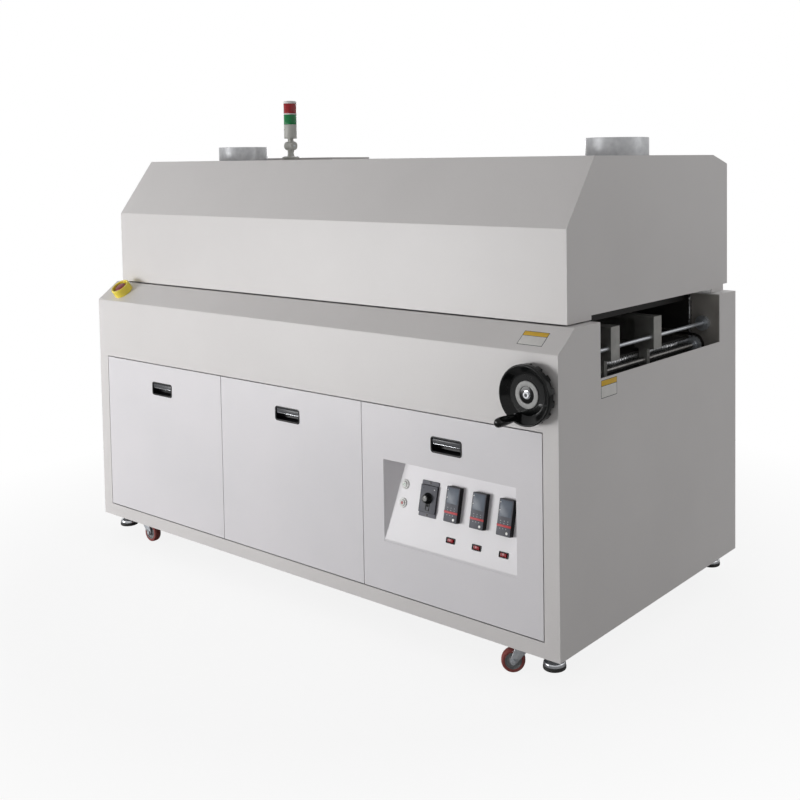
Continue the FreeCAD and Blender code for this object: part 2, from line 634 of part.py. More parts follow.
def rail(y0, inner, rod_bore, screw_bore):
    """Channel rail with a chain ledge, solid end blocks and a bracket down to each lead screw.

    inner is +1 where the board side faces +Y and -1 where it faces -Y.
    """
    z0, z1 = RAIL_Z, RAIL_Z + RAIL_HEIGHT
    y1 = y0 + RAIL_WIDTH
    outer, edge = (y0, y1) if inner > 0 else (y1, y0)

    def strip(a, b):
        return tuple(sorted((outer + inner * a, outer + inner * b)))

    length = RAIL_END - END_BLOCK
    web = box(-length, length, *strip(0, RAIL_WEB), z0, z1)
    ledge = box(-length, length, *strip(RAIL_WEB, RAIL_WIDTH), z1 - 12, z1)
    lip = box(-length, length, *strip(RAIL_WEB, RAIL_WIDTH - 16), z0, z0 + RAIL_WEB)
    groove = box(-length - 1, length + 1, *strip(RAIL_WIDTH - 10, RAIL_WIDTH - 4), z1 - 6, z1 + 1)
    parts = [web, ledge, lip]
    holes = [groove]
    for side in (-1, 1):
        x0, x1 = sorted((side * length, side * RAIL_END))
        parts.append(box(x0, x1, y0, y1, z0, z1))
        b0, b1 = sorted((side * (SCREW_X - 14), side * (SCREW_X + 14)))
        parts.append(box(b0, b1, y0, y0 + 16, SCREW_LEVEL - 16, z0))
        for x, z, radius in ((ROD_X, ROD_LEVEL, rod_bore), (SCREW_X, SCREW_LEVEL, screw_bore)):
            holes.append(rod(radius, (side * x, y0 - 1, z), (side * x, y1 + 1, z)))
    holes.append(rod(DRIVE_RADIUS + 4, (-DRIVE_X, y0 - 1, DRIVE_LEVEL), (-DRIVE_X, y1 + 1, DRIVE_LEVEL)))
    return cut(fuse(parts), holes)


def fixed_rail():
    return rail(FIXED_FRONT, 1, ROD_RADIUS, SCREW_RADIUS + RUNNING_FIT)


def movable_rail():
    return rail(MOVING_FRONT, -1, ROD_RADIUS + RUNNING_FIT, SCREW_RADIUS + RUNNING_FIT)


def guide_rods():
    y0, y1 = OPEN_FRONT + FLANGE_THICK, OPEN_REAR - FLANGE_THICK
    return [rod(ROD_RADIUS, (side * ROD_X, y0, ROD_LEVEL), (side * ROD_X, y1, ROD_LEVEL)) for side in (-1, 1)]


def bearing_plate(x, z, half, wall, inward, bore):
    """Square plate with a running bore, on the inner face of a side wall."""
    y0, y1 = sorted((wall, wall + inward * FLANGE_THICK))
    return box(x - half, x + half, y0, y1, z - half, z + half).cut(rod(bore, (x, y0 - 1, z), (x, y1 + 1, z)))


def shaft_bearings():
    """Round flanges that hold the guide rods, and bored plates for the lead screws and drive shaft."""
    units = []
    screw_bore, drive_bore = SCREW_RADIUS + RUNNING_FIT, DRIVE_RADIUS + RUNNING_FIT
    for wall, inward in ((OPEN_FRONT, 1), (OPEN_REAR, -1)):
        for side in (-1, 1):
            x = side * ROD_X
            inner = wall + inward * FLANGE_THICK
            units.append(rod(FLANGE_RADIUS, (x, wall, ROD_LEVEL), (x, inner, ROD_LEVEL)))
            units.append(bearing_plate(side * SCREW_X, SCREW_LEVEL, PLATE_HALF, wall, inward, screw_bore))
        units.append(bearing_plate(-DRIVE_X, DRIVE_LEVEL, DRIVE_PLATE_HALF, wall, inward, drive_bore))
    return units


def tooth_points(x, z):
    """Outline of a toothed wheel: four corners to each tooth."""
    points = []
    step = 2 * math.pi / SPROCKET_TEETH
    for tooth in range(SPROCKET_TEETH):
        for share, radius in ((-0.36, SPROCKET_RADIUS - 5), (-0.12, SPROCKET_RADIUS),
                              (0.12, SPROCKET_RADIUS), (0.36, SPROCKET_RADIUS - 5)):
            angle = (tooth + share) * step
            points.append((x + radius * math.cos(angle), z + radius * math.sin(angle)))
    return points


def lead_screw(side, front_end):
    """Lead screw with the sprocket that ties it to the other one."""
    x = side * SCREW_X
    shaft = rod(SCREW_RADIUS, (x, front_end, SCREW_LEVEL), (x, OPEN_REAR, SCREW_LEVEL))
    wheel = prism_y(tooth_points(x, SCREW_LEVEL), CHAIN_Y, CHAIN_Y + SPROCKET_THICK)
    return fuse([shaft, wheel])


def adjust_chain():
    """Closed loop round both screw sprockets, kept clear of their teeth."""
    inner = SPROCKET_RADIUS + 0.5
    outer = inner + CHAIN_WIDTH

    def loop(radius, extra):
        y0, y1 = CHAIN_Y - extra, CHAIN_Y + SPROCKET_THICK + extra
        middle = box(-SCREW_X, SCREW_X, y0, y1, SCREW_LEVEL - radius, SCREW_LEVEL + radius)
        ends = [rod(radius, (side * SCREW_X, y0, SCREW_LEVEL), (side * SCREW_X, y1, SCREW_LEVEL))
                for side in (-1, 1)]
        return fuse([middle] + ends)

    return loop(outer, 0).cut(loop(inner, 1))


def drive_shaft():
    """Hexagon shaft across the tunnel at the left end, round where it runs in its bearings."""
    x, z = -DRIVE_X, DRIVE_LEVEL
    y0, y1 = OPEN_FRONT + FLANGE_THICK + 1, OPEN_REAR - FLANGE_THICK - 1
    bar = prism_y(hex_points(x, z, 1.7 * DRIVE_RADIUS), y0, y1)
    neck = rod(DRIVE_RADIUS, (x, OPEN_FRONT, z), (x, y0, z))
    tail = rod(DRIVE_RADIUS, (x, y1, z), (x, OPEN_REAR + WALL_SHEET + 20, z))
    return fuse([bar, neck, tail])


def drive_motor():
    """Worm gearbox on the rear side wall with its motor beside it."""
    x, z, y0 = -DRIVE_X, DRIVE_LEVEL, OPEN_REAR + WALL_SHEET
    case = box(x - 34, x + 34, y0, y0 + 60, z - 34, z + 28)
    bore = rod(DRIVE_RADIUS + RUNNING_FIT, (x, y0 - 1, z), (x, y0 + 22, z))
    motor = rod(27, (x + 34, y0 + 30, z), (x + 150, y0 + 30, z))
    return fuse([case.cut(bore), motor])


# ---- hood ----------------------------------------------------------------------------------
def hood_outline():
    return [
        (HOOD_FRONT, HOOD_Z), (HOOD_REAR, HOOD_Z), (HOOD_REAR, HOOD_ROOF - HOOD_CHAMFER_DROP),
        (HOOD_REAR - HOOD_CHAMFER_DEPTH, HOOD_ROOF), (FRONT + HOOD_TOP_SETBACK, HOOD_ROOF),
        (HOOD_FRONT, BASE + HOOD_BEND),
    ]


def hinge_lug(x):
    """Plate from the hood's rear wall down to the hinge pin."""
    wall = HOOD_REAR - SHEET
    step = HOOD_Z + HINGE_STEP_HEIGHT
    outline = [(HINGE_Y - 8, HINGE_Z), (HINGE_Y, HINGE_Z - 8), (HINGE_Y + 8, HINGE_Z), (wall, step + 2),
               (wall, step + 40), (HINGE_Y - 8, step + 10)]
    return prism_x(outline, x - 2.5, x + 2.5)


def hood_shell():
    """Folded hood open below, its end plates with the tunnel notch, hinge lugs and the cover plate."""
    outline = hood_outline()
    core = [(y, z - 10 if z < HOOD_Z + 5 else z) for y, z in inset(outline, SHEET)]
    inner = HOOD_HALF - SHEET
    shell = bend(prism_x(outline, -inner, inner), outline[2:], BEND)
    shell = shell.cut(bend(prism_x(core, -HOOD_HALF, HOOD_HALF), core[2:], BEND - SHEET))
    step = HOOD_REAR - HINGE_STEP_DEPTH
    cuts = [
        box(-HALF, HALF, OPEN_FRONT, OPEN_REAR, HOOD_Z - 1, HOOD_Z + NOTCH_HEIGHT),
        box(-HALF, HALF, step, HOOD_REAR + 1, HOOD_Z - 1, HOOD_Z + HINGE_STEP_HEIGHT),
    ]
    for side in (-1, 1):
        x, y = side * DUCT_X, FRONT + DUCT_Y
        cuts.append(rod(DUCT_RADIUS - DUCT_WALL, (x, y, HOOD_ROOF - 5), (x, y, HOOD_ROOF + 5)))
    parts = [cut(shell, cuts)]
    for x in (-HINGE_SPACING, 0, HINGE_SPACING):
        parts += [hinge_lug(x - 19), hinge_lug(x + 19)]
        parts.append(rod(HINGE_PIN, (x - 19, HINGE_Y, HINGE_Z), (x + 19, HINGE_Y, HINGE_Z)))
    ends = []
    for x0, x1 in ((-HOOD_HALF, -inner), (inner, HOOD_HALF)):
        ends.append(cut(bend(prism_x(outline, x0, x1), outline[2:], BEND), cuts))
    y0 = FRONT + TOWER_Y + FOOT_RADIUS + COVER_GAP
    x1 = TOWER_X + COVER_OVERHANG
    cover = box(x1 - COVER_LENGTH, x1, y0, y0 + COVER_WIDTH, HOOD_ROOF, HOOD_ROOF + COVER_THICK)
    return [fuse(parts), cover] + ends


def hinge_brackets():
    """Fixed hinge blocks of the hood on the deck, and of the doors on the lower frame tube."""
    blocks = []
    for x in (-HINGE_SPACING, 0, HINGE_SPACING):
        block = box(x - 16, x + 16, HINGE_Y - 7, HINGE_Y + 7, DECK, HINGE_Z)
        barrel = rod(7, (x - 16, HINGE_Y, HINGE_Z), (x + 16, HINGE_Y, HINGE_Z))
        bore = rod(HINGE_PIN + RUNNING_FIT, (x - 17, HINGE_Y, HINGE_Z), (x + 17, HINGE_Y, HINGE_Z))
        blocks.append(fuse([block, barrel]).cut(bore))
    for centre in DOOR_CENTRES.values():
        for side in (-1, 1):
            blocks.append(door_bracket(centre + side * (DOOR_WIDTH / 2 - PIVOT_INSET)))
    return blocks


def door_bracket(x):
    """Angle on the lower frame tube that carries one hinge pin of a door."""
    half = PIVOT_NOTCH / 2 - 5
    rear = TUBE_FRONT + 26
    arm = box(x - half, x + half, PIVOT_Y, rear, PIVOT_Z - 3.5, PIVOT_Z + 3.5)
    nose = rod(3.5, (x - half, PIVOT_Y, PIVOT_Z), (x + half, PIVOT_Y, PIVOT_Z))
    foot = box(x - half, x + half, TUBE_FRONT, rear, BASE + TUBE, PIVOT_Z + 3.5)
    bore = rod(PIVOT_RADIUS + RUNNING_FIT, (x - half - 1, PIVOT_Y, PIVOT_Z), (x + half + 1, PIVOT_Y, PIVOT_Z))
    return fuse([arm, nose, foot]).cut(bore)


def upper_chamber():
    """Hot-air casing under the hood with its nozzle plate, heaters, blower motors and hangers."""
    bottom = UPPER_Z + CHAMBER_WALL
    top = bottom + UPPER_CHAMBER_HEIGHT
    roof = HOOD_ROOF - SHEET
    casing = hollow_box(-CHAMBER_END, CHAMBER_END, CHAMBER_FRONT, CHAMBER_REAR, bottom, top, CHAMBER_WALL,
                        False)
    parts = [casing, nozzle_plate(UPPER_Z)] + heaters(bottom + UPPER_CHAMBER_HEIGHT * 0.4)
    middle = (CHAMBER_FRONT + CHAMBER_REAR) / 2
    for zone in (-1, 0, 1):
        x = zone * CHAMBER_END * 2 / 3
        parts.append(rod(BLOWER_RADIUS, (x, middle, top), (x, middle, top + BLOWER_HEIGHT)))
        for y in (CHAMBER_FRONT + 20, CHAMBER_REAR - 20):
            parts.append(box(x - 20, x + 20, y - 2, y + 2, top, roof))
    return parts


def exhaust_collars():
    return [ring(DUCT_RADIUS, DUCT_RADIUS - DUCT_WALL, (side * DUCT_X, FRONT + DUCT_Y, HOOD_ROOF),
                 (side * DUCT_X, FRONT + DUCT_Y, HOOD_ROOF + DUCT_HEIGHT)) for side in (-1, 1)]


# ---- signal tower --------------------------------------------------------------------------
def tower_point(rise):
    return TOWER_X, FRONT + TOWER_Y, HOOD_ROOF + rise


def tower_base():
    """Round foot, stem and the fixed half of the split knuckle barrel with its pin."""
    x, y, z = tower_point(0)
    axis = z + KNUCKLE_RISE
    low = KNUCKLE_RISE - KNUCKLE_RADIUS - 1
    foot = turned([(0, 0), (FOOT_RADIUS, 0), (FOOT_RADIUS, FOOT_HEIGHT / 3), (STEM_RADIUS, FOOT_HEIGHT),
                   (STEM_RADIUS, low), (0, low)], (x, y, z))
    web = box(x - STEM_RADIUS, x - KNUCKLE_SPLIT, y - NECK_RADIUS, y + NECK_RADIUS, z + low - 6, axis)
    disc = rod(KNUCKLE_RADIUS, (x - KNUCKLE_HALF, y, axis), (x - KNUCKLE_SPLIT, y, axis))
    pin = rod(KNUCKLE_PIN, (x - KNUCKLE_SPLIT, y, axis), (x + KNUCKLE_HALF, y, axis))
    return fuse([foot, web, disc, pin])


def tower_body():
    """Moving half of the knuckle barrel, neck and housing in one moulding, and the parts over the lenses."""
    x, y, z = tower_point(0)
    axis = z + KNUCKLE_RISE
    low = z + TOWER_BODY_RISE
    top = low + TOWER_BODY_HEIGHT
    disc = rod(KNUCKLE_RADIUS, (x + KNUCKLE_SPLIT, y, axis), (x + KNUCKLE_HALF, y, axis))
    web = box(x + KNUCKLE_SPLIT, x + NECK_RADIUS, y - NECK_RADIUS, y + NECK_RADIUS, axis, low)
    neck = rod(NECK_RADIUS, (x, y, axis + KNUCKLE_RADIUS + 1), (x, y, low))
    housing = rod(TOWER_RADIUS, (x, y, low), (x, y, top))
    bore = rod(KNUCKLE_PIN + RUNNING_FIT, (x, y, axis), (x + KNUCKLE_HALF + 1, y, axis))
    body = fuse([disc, web, neck, housing]).cut(bore)
    spacer_z = top + LENS_HEIGHT
    cap_z = spacer_z + LENS_RING + LENS_HEIGHT
    spacer = rod(TOWER_RADIUS, (x, y, spacer_z), (x, y, spacer_z + LENS_RING))
    return [body, spacer, rod(TOWER_RADIUS, (x, y, cap_z), (x, y, cap_z + CAP_HEIGHT))]


def tower_lens(rise):
    x, y, z = tower_point(rise)
    return rod(TOWER_RADIUS, (x, y, z), (x, y, z + LENS_HEIGHT))


# ---- doors ---------------------------------------------------------------------------------
def door(name):
    """Folded pan with hinge notches in its lower flange, hinge pins and the pull cut-out."""
    centre = DOOR_CENTRES[name]
    half = (DOOR_WIDTH - DOOR_SEAM) / 2
    z0, z1 = DOOR_Z, DOOR_Z + DOOR_HEIGHT
    x0, x1 = centre - half, centre + half
    pan = box(x0, x1, FRONT, FRONT + DOOR_DEPTH, z0, z1)
    core = box(x0 + DOOR_SHEET, x1 - DOOR_SHEET, FRONT + DOOR_SHEET, FRONT + DOOR_DEPTH + 1,
               z0 + DOOR_SHEET, z1 - DOOR_SHEET)
    pull_half, pull_rise = PULL_LENGTH / 2 - PULL_FRAME, PULL_HEIGHT / 2 - PULL_FRAME
    cuts = [core, box(centre - pull_half, centre + pull_half, FRONT - 1, FRONT + 3, PULL_Z - pull_rise,
                      PULL_Z + pull_rise)]
    pins = []
    for side in (-1, 1):
        x = centre + side * (DOOR_WIDTH / 2 - PIVOT_INSET)
        notch = PIVOT_NOTCH / 2
        cuts.append(box(x - notch, x + notch, FRONT + DOOR_SHEET, FRONT + DOOR_DEPTH + 1, z0 - 1, z0 + 3))
        pins.append(rod(PIVOT_RADIUS, (x - notch - 4, PIVOT_Y, PIVOT_Z), (x + notch + 4, PIVOT_Y, PIVOT_Z)))
        for edge in (x - notch - 4, x + notch):
            pins.append(box(edge, edge + 4, FRONT + DOOR_SHEET, FRONT + PIVOT_DEPTH + 6, z0, PIVOT_Z + 6))
    if name == "right":
        cuts.append(box(RECESS_X - RECESS_LENGTH / 2, RECESS_X + RECESS_LENGTH / 2, FRONT - 1, FRONT + 3,
                        RECESS_Z, RECESS_Z + RECESS_HEIGHT))
    return fuse([cut(pan, cuts)] + pins)


def pull(name):
    """Recessed pull: a framed cup let into the door, its rim rounded, with holes for the flap pin."""
    x = DOOR_CENTRES[name]
    half, rise = PULL_LENGTH / 2, PULL_HEIGHT / 2
    flange = box(x - half, x + half, FRONT - PULL_PROUD, FRONT, PULL_Z - rise, PULL_Z + rise)
    cup_half, cup_rise = half - PULL_FRAME, rise - PULL_FRAME
    cup = box(x - cup_half, x + cup_half, FRONT - 0.5, FRONT + PULL_DEPTH, PULL_Z - cup_rise,
              PULL_Z + cup_rise)
    wall = 1.5
    y0 = FRONT + PULL_DEPTH - wall
    pocket = prism_x([(FRONT - 3, PULL_Z - cup_rise + wall), (y0 - 8, PULL_Z - cup_rise + wall),
                      (y0, PULL_Z - cup_rise + 12), (y0, PULL_Z + cup_rise - wall),
                      (FRONT - 3, PULL_Z + cup_rise - wall)], x - cup_half + wall, x + cup_half - wall)
    y, z = flap_axis()
    pin = rod(FLAP_PIN + RUNNING_FIT, (x - cup_half + 0.4, y, z), (x + cup_half - 0.4, y, z))
    return fuse([flange, cup]).cut(pocket).cut(pin)


def flap_axis():
    return FRONT + 3.0, PULL_Z + PULL_HEIGHT / 2 - PULL_FRAME - 4.5


def flap(name):
    """Squeeze flap hanging from its two pivot pins across the top of the pull."""
    x = DOOR_CENTRES[name]
    half = PULL_LENGTH / 2 - PULL_FRAME - 2.0
    y, z = flap_axis()
    outline = [(y - FLAP_THICK / 2, z - FLAP_HEIGHT), (y + FLAP_THICK / 2, z - FLAP_HEIGHT),
               (y + FLAP_THICK / 2 + 1, z), (y + FLAP_THICK / 2, z + 2.2), (y - FLAP_THICK / 2, z + 2.2),
               (y - FLAP_THICK / 2 - 0.6, z)]
    pin = rod(FLAP_PIN, (x - half - 0.8, y, z), (x + half + 0.8, y, z))
    return fuse([prism_x(outline, x - half, x + half), pin])


# ---- control recess ------------------------------------------------------------------------
def on_plate(shape):
    """Carries a piece drawn flat (x right, y into the plate, z up it) onto the leaning plate."""
    turn = FreeCAD.Rotation(V(1, 0, 0), -RECESS_TILT)
    shape.Placement = FreeCAD.Placement(V(RECESS_X, FRONT, RECESS_Z), turn)
    return shape


def recess_wedge(grow, start):
    """The recess as a wedge: flush at its lower edge, deepest at the top, with flared sides."""
    half = RECESS_LENGTH / 2 + grow
    depth = RECESS_DEPTH + grow
    left, right = (half - flare * RECESS_DEPTH for flare in RECESS_FLARES)
    z0, z1 = RECESS_Z - grow * 0.3, RECESS_Z + RECESS_HEIGHT + grow
    a, b = V(RECESS_X - half, start, z0), V(RECESS_X + half, start, z0)
    c, d = V(RECESS_X + half, start, z1), V(RECESS_X - half, start, z1)
    e, f = V(RECESS_X - left, FRONT + depth, z1), V(RECESS_X + right, FRONT + depth, z1)
    faces = [Part.Face(Part.makePolygon(list(loop) + [loop[0]]))
             for loop in ((a, b, c, d), (a, b, f, e), (d, c, f, e), (a, d, e), (b, c, f))]
    return Part.Solid(Part.Shell(faces))


def zone_places():
    return [ZONE_X + i * ZONE_PITCH for i in range(3)]


def control_tray():
    """Sheet recess behind the door, with a rim and the cut-outs of the instruments."""
    outer = recess_wedge(TRAY_SHEET, FRONT + DOOR_SHEET)
    inner = recess_wedge(0, FRONT)
    tray = outer.cut(inner)
    half = RECESS_LENGTH / 2
    rim = box(RECESS_X - half - 12, RECESS_X + half + 12, FRONT + DOOR_SHEET, FRONT + 2 * DOOR_SHEET,
              RECESS_Z - 12, RECESS_Z + RECESS_HEIGHT + 12)
    rim = rim.cut(box(RECESS_X - half, RECESS_X + half, FRONT, FRONT + 9, RECESS_Z, RECESS_Z + RECESS_HEIGHT))
    rim = rim.cut(inner)
    tray = fuse([tray, rim])
    holes = []
    for height in BUTTON_HEIGHTS:
        holes.append(on_plate(rod(BUTTON_RADIUS + 1, (BUTTON_X, -9, height), (BUTTON_X, 9, height))))
    holes.append(on_plate(box(SPEED_X - 24, SPEED_X + 24, -5, 9, SPEED_RISE - 36, SPEED_RISE + 36)))
    for x in zone_places():
        holes.append(on_plate(box(x - 22, x + 22, -5, 9, ZONE_RISE - 45, ZONE_RISE + 45)))
        holes.append(on_plate(rocker_block(x, 1.0, -5, 9)))
    return cut(tray, holes).Solids[0]


def zone_controller(x):
    """Upright panel instrument: bezel, display field set back in it, keys, and its body behind."""
    half, rise = ZONE_WIDTH / 2, ZONE_HEIGHT / 2
    bezel = box(x - half, x + half, -ZONE_PROUD, 0, ZONE_RISE - rise, ZONE_RISE + rise)
    field = box(x - half + 4, x + half - 4, -ZONE_PROUD - 1, -ZONE_PROUD + 1.5, ZONE_RISE - 17,
                ZONE_RISE + rise - 4)
    body = box(x - 21.5, x + 21.5, 0, ZONE_BODY_DEPTH, ZONE_RISE - 44.5, ZONE_RISE + 44.5)
    keys = []
    for i in range(4):
        kx = x - 13.5 + 9 * i
        keys.append(box(kx - 3, kx + 3, -ZONE_PROUD - 1, -ZONE_PROUD, ZONE_RISE - 33, ZONE_RISE - 28))
    return on_plate(fuse([bezel.cut(field), body] + keys))


def zone_controllers():
    return [zone_controller(x) for x in zone_places()]


def speed_controller():
    """Motor speed unit: two screwed end flanges, a raised face with knob spindle and switch pocket."""
    half, rise = SPEED_WIDTH / 2, SPEED_HEIGHT / 2
    flange = box(SPEED_X - half, SPEED_X + half, -3, 0, SPEED_RISE - rise, SPEED_RISE + rise)
    face = box(SPEED_X - half, SPEED_X + half, -SPEED_PROUD, -3, SPEED_RISE - rise + 11,
               SPEED_RISE + rise - 11)
    body = box(SPEED_X - 23.5, SPEED_X + 23.5, 0, 60, SPEED_RISE - 35.5, SPEED_RISE + 35.5)
    x, z = speed_rocker_place()
    spindle = rod(SPINDLE, (SPEED_X, -20, KNOB_RISE), (SPEED_X, -SPEED_PROUD, KNOB_RISE))
    pocket = box(x - 4.5, x + 4.5, -SPEED_PROUD - 1, 4, z - 8, z + 8)
    axle = rod(1 + RUNNING_FIT, (x - 5.5, SPEED_AXLE, z), (x + 5.5, SPEED_AXLE, z))
    return on_plate(cut(fuse([flange, face, body, spindle]), [pocket, axle]))


def speed_rocker_place():
    return SPEED_X + 1, SPEED_RISE - 22


def speed_knob():
    """Tapered knob with a skirt, bored for its spindle."""
    base = SPEED_PROUD + 0.3
    bore = SPINDLE + RUNNING_FIT
    outline = [(bore, base), (KNOB_RADIUS + 2, base), (KNOB_RADIUS, base + 3), (KNOB_RADIUS - 3, 23), (0, 23),
               (0, 20.3), (bore, 20.3)]
    return plate_turned(outline, SPEED_X, KNOB_RISE)


def plate_turned(outline, x, rise):
    """A (radius, distance in front of the plate) outline turned about the plate's normal."""
    shape = turned(outline, (x, 0, rise), (0, -1, 0))
    return on_plate(Part.makeCompound([shape])).Solids[0]


def rocker_points(half, tilt):
    """Side outline of a rocker about its axle: two raised tips and a dip between, tilted to one side."""
    angle = math.radians(tilt)
    flat = [(-0.86 * half, 0.27 * half), (0.86 * half, 0.27 * half), (half, -0.14 * half),
            (0.97 * half, -0.41 * half), (0, -0.25 * half), (-0.97 * half, -0.41 * half),
            (-half, -0.14 * half)]
    return [(a * math.cos(angle) + b * math.sin(angle), b * math.cos(angle) - a * math.sin(angle))
            for a, b in flat]


def zone_rocker(x):
    """Level rocker tipping about an upright axle, pressed in on its left side."""
    half, rise = ROCKER_WIDTH / 2 - 5, ROCKER_HEIGHT / 2 - 3.2
    points = [(x + a, ROCKER_SEAT + b) for a, b in rocker_points(half, ROCKER_TILT)]
    block = prism_z(points, ROCKER_RISE - rise, ROCKER_RISE + rise)
    reach = rise + 1.4
    axle = rod(ROCKER_AXLE, (x, ROCKER_SEAT, ROCKER_RISE - reach), (x, ROCKER_SEAT, ROCKER_RISE + reach))
    return on_plate(fuse([block, axle]))


def rocker_block(x, rim, y0, y1):
    """The rocker's outline less a rim, from y0 to y1."""
    w, h = ROCKER_WIDTH / 2 - rim, ROCKER_HEIGHT / 2 - rim
    return box(x - w, x + w, y0, y1, ROCKER_RISE - h, ROCKER_RISE + h)


def rocker_frame(x):
    """Snap-in frame round one rocker, open in front, with blind bearings for its axle."""
    shell = fuse([rocker_block(x, 0, -2, 0), rocker_block(x, 1.3, 0, 22)])
    rise = ROCKER_HEIGHT / 2 - 1.6
    ends = (x, ROCKER_SEAT, ROCKER_RISE - rise), (x, ROCKER_SEAT, ROCKER_RISE + rise)
    axle = rod(ROCKER_AXLE + RUNNING_FIT, *ends)
    return on_plate(cut(shell, [rocker_block(x, 2.8, -3, 12), axle]))


def speed_rocker():
    """Small upright switch lever of the speed unit, tipping about a level axle."""
    x, z = speed_rocker_place()
    points = [(SPEED_AXLE + b, z + a) for a, b in rocker_points(7.2, ROCKER_TILT)]
    axle = rod(1.0, (x - 5.2, SPEED_AXLE, z), (x + 5.2, SPEED_AXLE, z))
    return on_plate(fuse([prism_x(points, x - 4.2, x + 4.2), axle]))


def button_bezel(height):
    """White ring that guides the button in its bore."""
    bore = BUTTON_RADIUS + RUNNING_FIT
    return plate_turned([(bore, 0), (BUTTON_RING, 0), (BUTTON_RING - 1, 3.5), (bore, 3.5)], BUTTON_X, height)


def push_button(height):
    """Round cap with a bevelled face."""
    r = BUTTON_RADIUS
    return plate_turned([(0, -8), (r, -8), (r, 4.5), (r - 2, 6.5), (0, 6.5)], BUTTON_X, height)


# ---- emergency stop ------------------------------------------------------------------------
def on_slope(outline):
    origin = slope_point(ESTOP_X, SLOPE_LENGTH / 2, 0)
    return turned(outline, origin, (0, -SHOULDER_DROP, SHOULDER_DEPTH))


def estop_guard():
    """Cup with a thick rim, and a neck through the shoulder that guides the stem."""
    r, bore = ESTOP_RADIUS, ESTOP_STEM + RUNNING_FIT
    return on_slope([(bore, -12), (ESTOP_STEM + 3, -12), (ESTOP_STEM + 3, 0), (r, 0), (r, ESTOP_HEIGHT),
                     (r - ESTOP_WALL, ESTOP_HEIGHT), (r - ESTOP_WALL - 2, 5), (bore, 5)])


def estop_button():
    """Mushroom head on its stem."""
    head, top = ESTOP_HEAD, ESTOP_HEIGHT
    return on_slope([(0, -24), (ESTOP_STEM, -24), (ESTOP_STEM, top - 16), (head, top - 14),
                     (head, top - 5), (head - 6, top - 1), (0, top - 1)])


# ---- handwheel -----------------------------------------------------------------------------
def handwheel():
    """Dished wheel with a scalloped rear rim and crank pin, aluminium hub ring and centre screw."""
    r, rim = WHEEL_RADIUS, WHEEL_RADIUS - RIM_WIDTH
    face = (SCREW_X, FRONT, SCREW_LEVEL)
    outward = (0, -1, 0)
    dish = turned([
        (SCREW_RADIUS, WHEEL_REAR), (r, WHEEL_REAR), (r, WHEEL_FRONT - 4), (r - 4, WHEEL_FRONT),
        (rim, WHEEL_FRONT), (rim - 12, HUB_FACE), (SCREW_RADIUS, HUB_FACE),
    ], face, outward)
    grooves = []
    for i in range(SCALLOPS):
        angle = 2 * math.pi * i / SCALLOPS
        x = SCREW_X + (r + 5) * math.cos(angle)
        z = SCREW_LEVEL + (r + 5) * math.sin(angle)
        grooves.append(rod(9, (x, FRONT - WHEEL_REAR + 1, z), (x, FRONT - WHEEL_REAR - 11, z)))
    dish = dish.cut(Part.makeCompound(grooves))
    px, pz = crank_place()
    pin = rod(CRANK_PIN, (px, FRONT - HUB_FACE + 6, pz), (px, FRONT - CRANK_REACH + 4, pz))
    ring_top = HUB_FACE + 2
    hub_ring = turned([(22, HUB_FACE), (HUB_RADIUS, HUB_FACE), (HUB_RADIUS, ring_top), (22, ring_top)],
                      face, outward)
    screw = rod(11, (SCREW_X, FRONT - HUB_FACE, SCREW_LEVEL), (SCREW_X, FRONT - HUB_FACE - 5, SCREW_LEVEL))
    return [fuse([dish, pin]), hub_ring, screw]


def crank_place():
    angle = math.radians(CRANK_ANGLE)
    return SCREW_X + CRANK_RADIUS * math.cos(angle), SCREW_LEVEL + CRANK_RADIUS * math.sin(angle)


def crank_grip():
    """Grip turning on the crank pin: barrel with a bevelled end."""
    x, z = crank_place()
    g, start, end = GRIP_RADIUS, WHEEL_FRONT + 0.3, CRANK_REACH
    waist = start + 0.7 * (end - start)
    bore = CRANK_PIN + RUNNING_FIT
    return turned([(bore, start), (g - 4, start), (g, waist), (g, end - 6), (g - 5, end), (0, end),
                   (0, end - 3.7), (bore, end - 3.7)], (x, FRONT, z), (0, -1, 0))


# ---- electrics -----------------------------------------------------------------------------
def contactor(x, y, z):
    """Contactor: stepped block with a terminal shelf at top and bottom."""
    half, step, crown = CONTACTOR_HEIGHT * 0.5, CONTACTOR_HEIGHT * 0.3, CONTACTOR_HEIGHT * 0.25
    shelf, face = y - CONTACTOR_SHELF, y - CONTACTOR_DEPTH
    outline = [(y, z - half), (shelf, z - half), (shelf, z - step), (face, z - crown), (face, z + crown),
               (shelf, z + step), (shelf, z + half), (y, z + half)]
    return prism_x(outline, x - CONTACTOR_WIDTH / 2, x + CONTACTOR_WIDTH / 2)


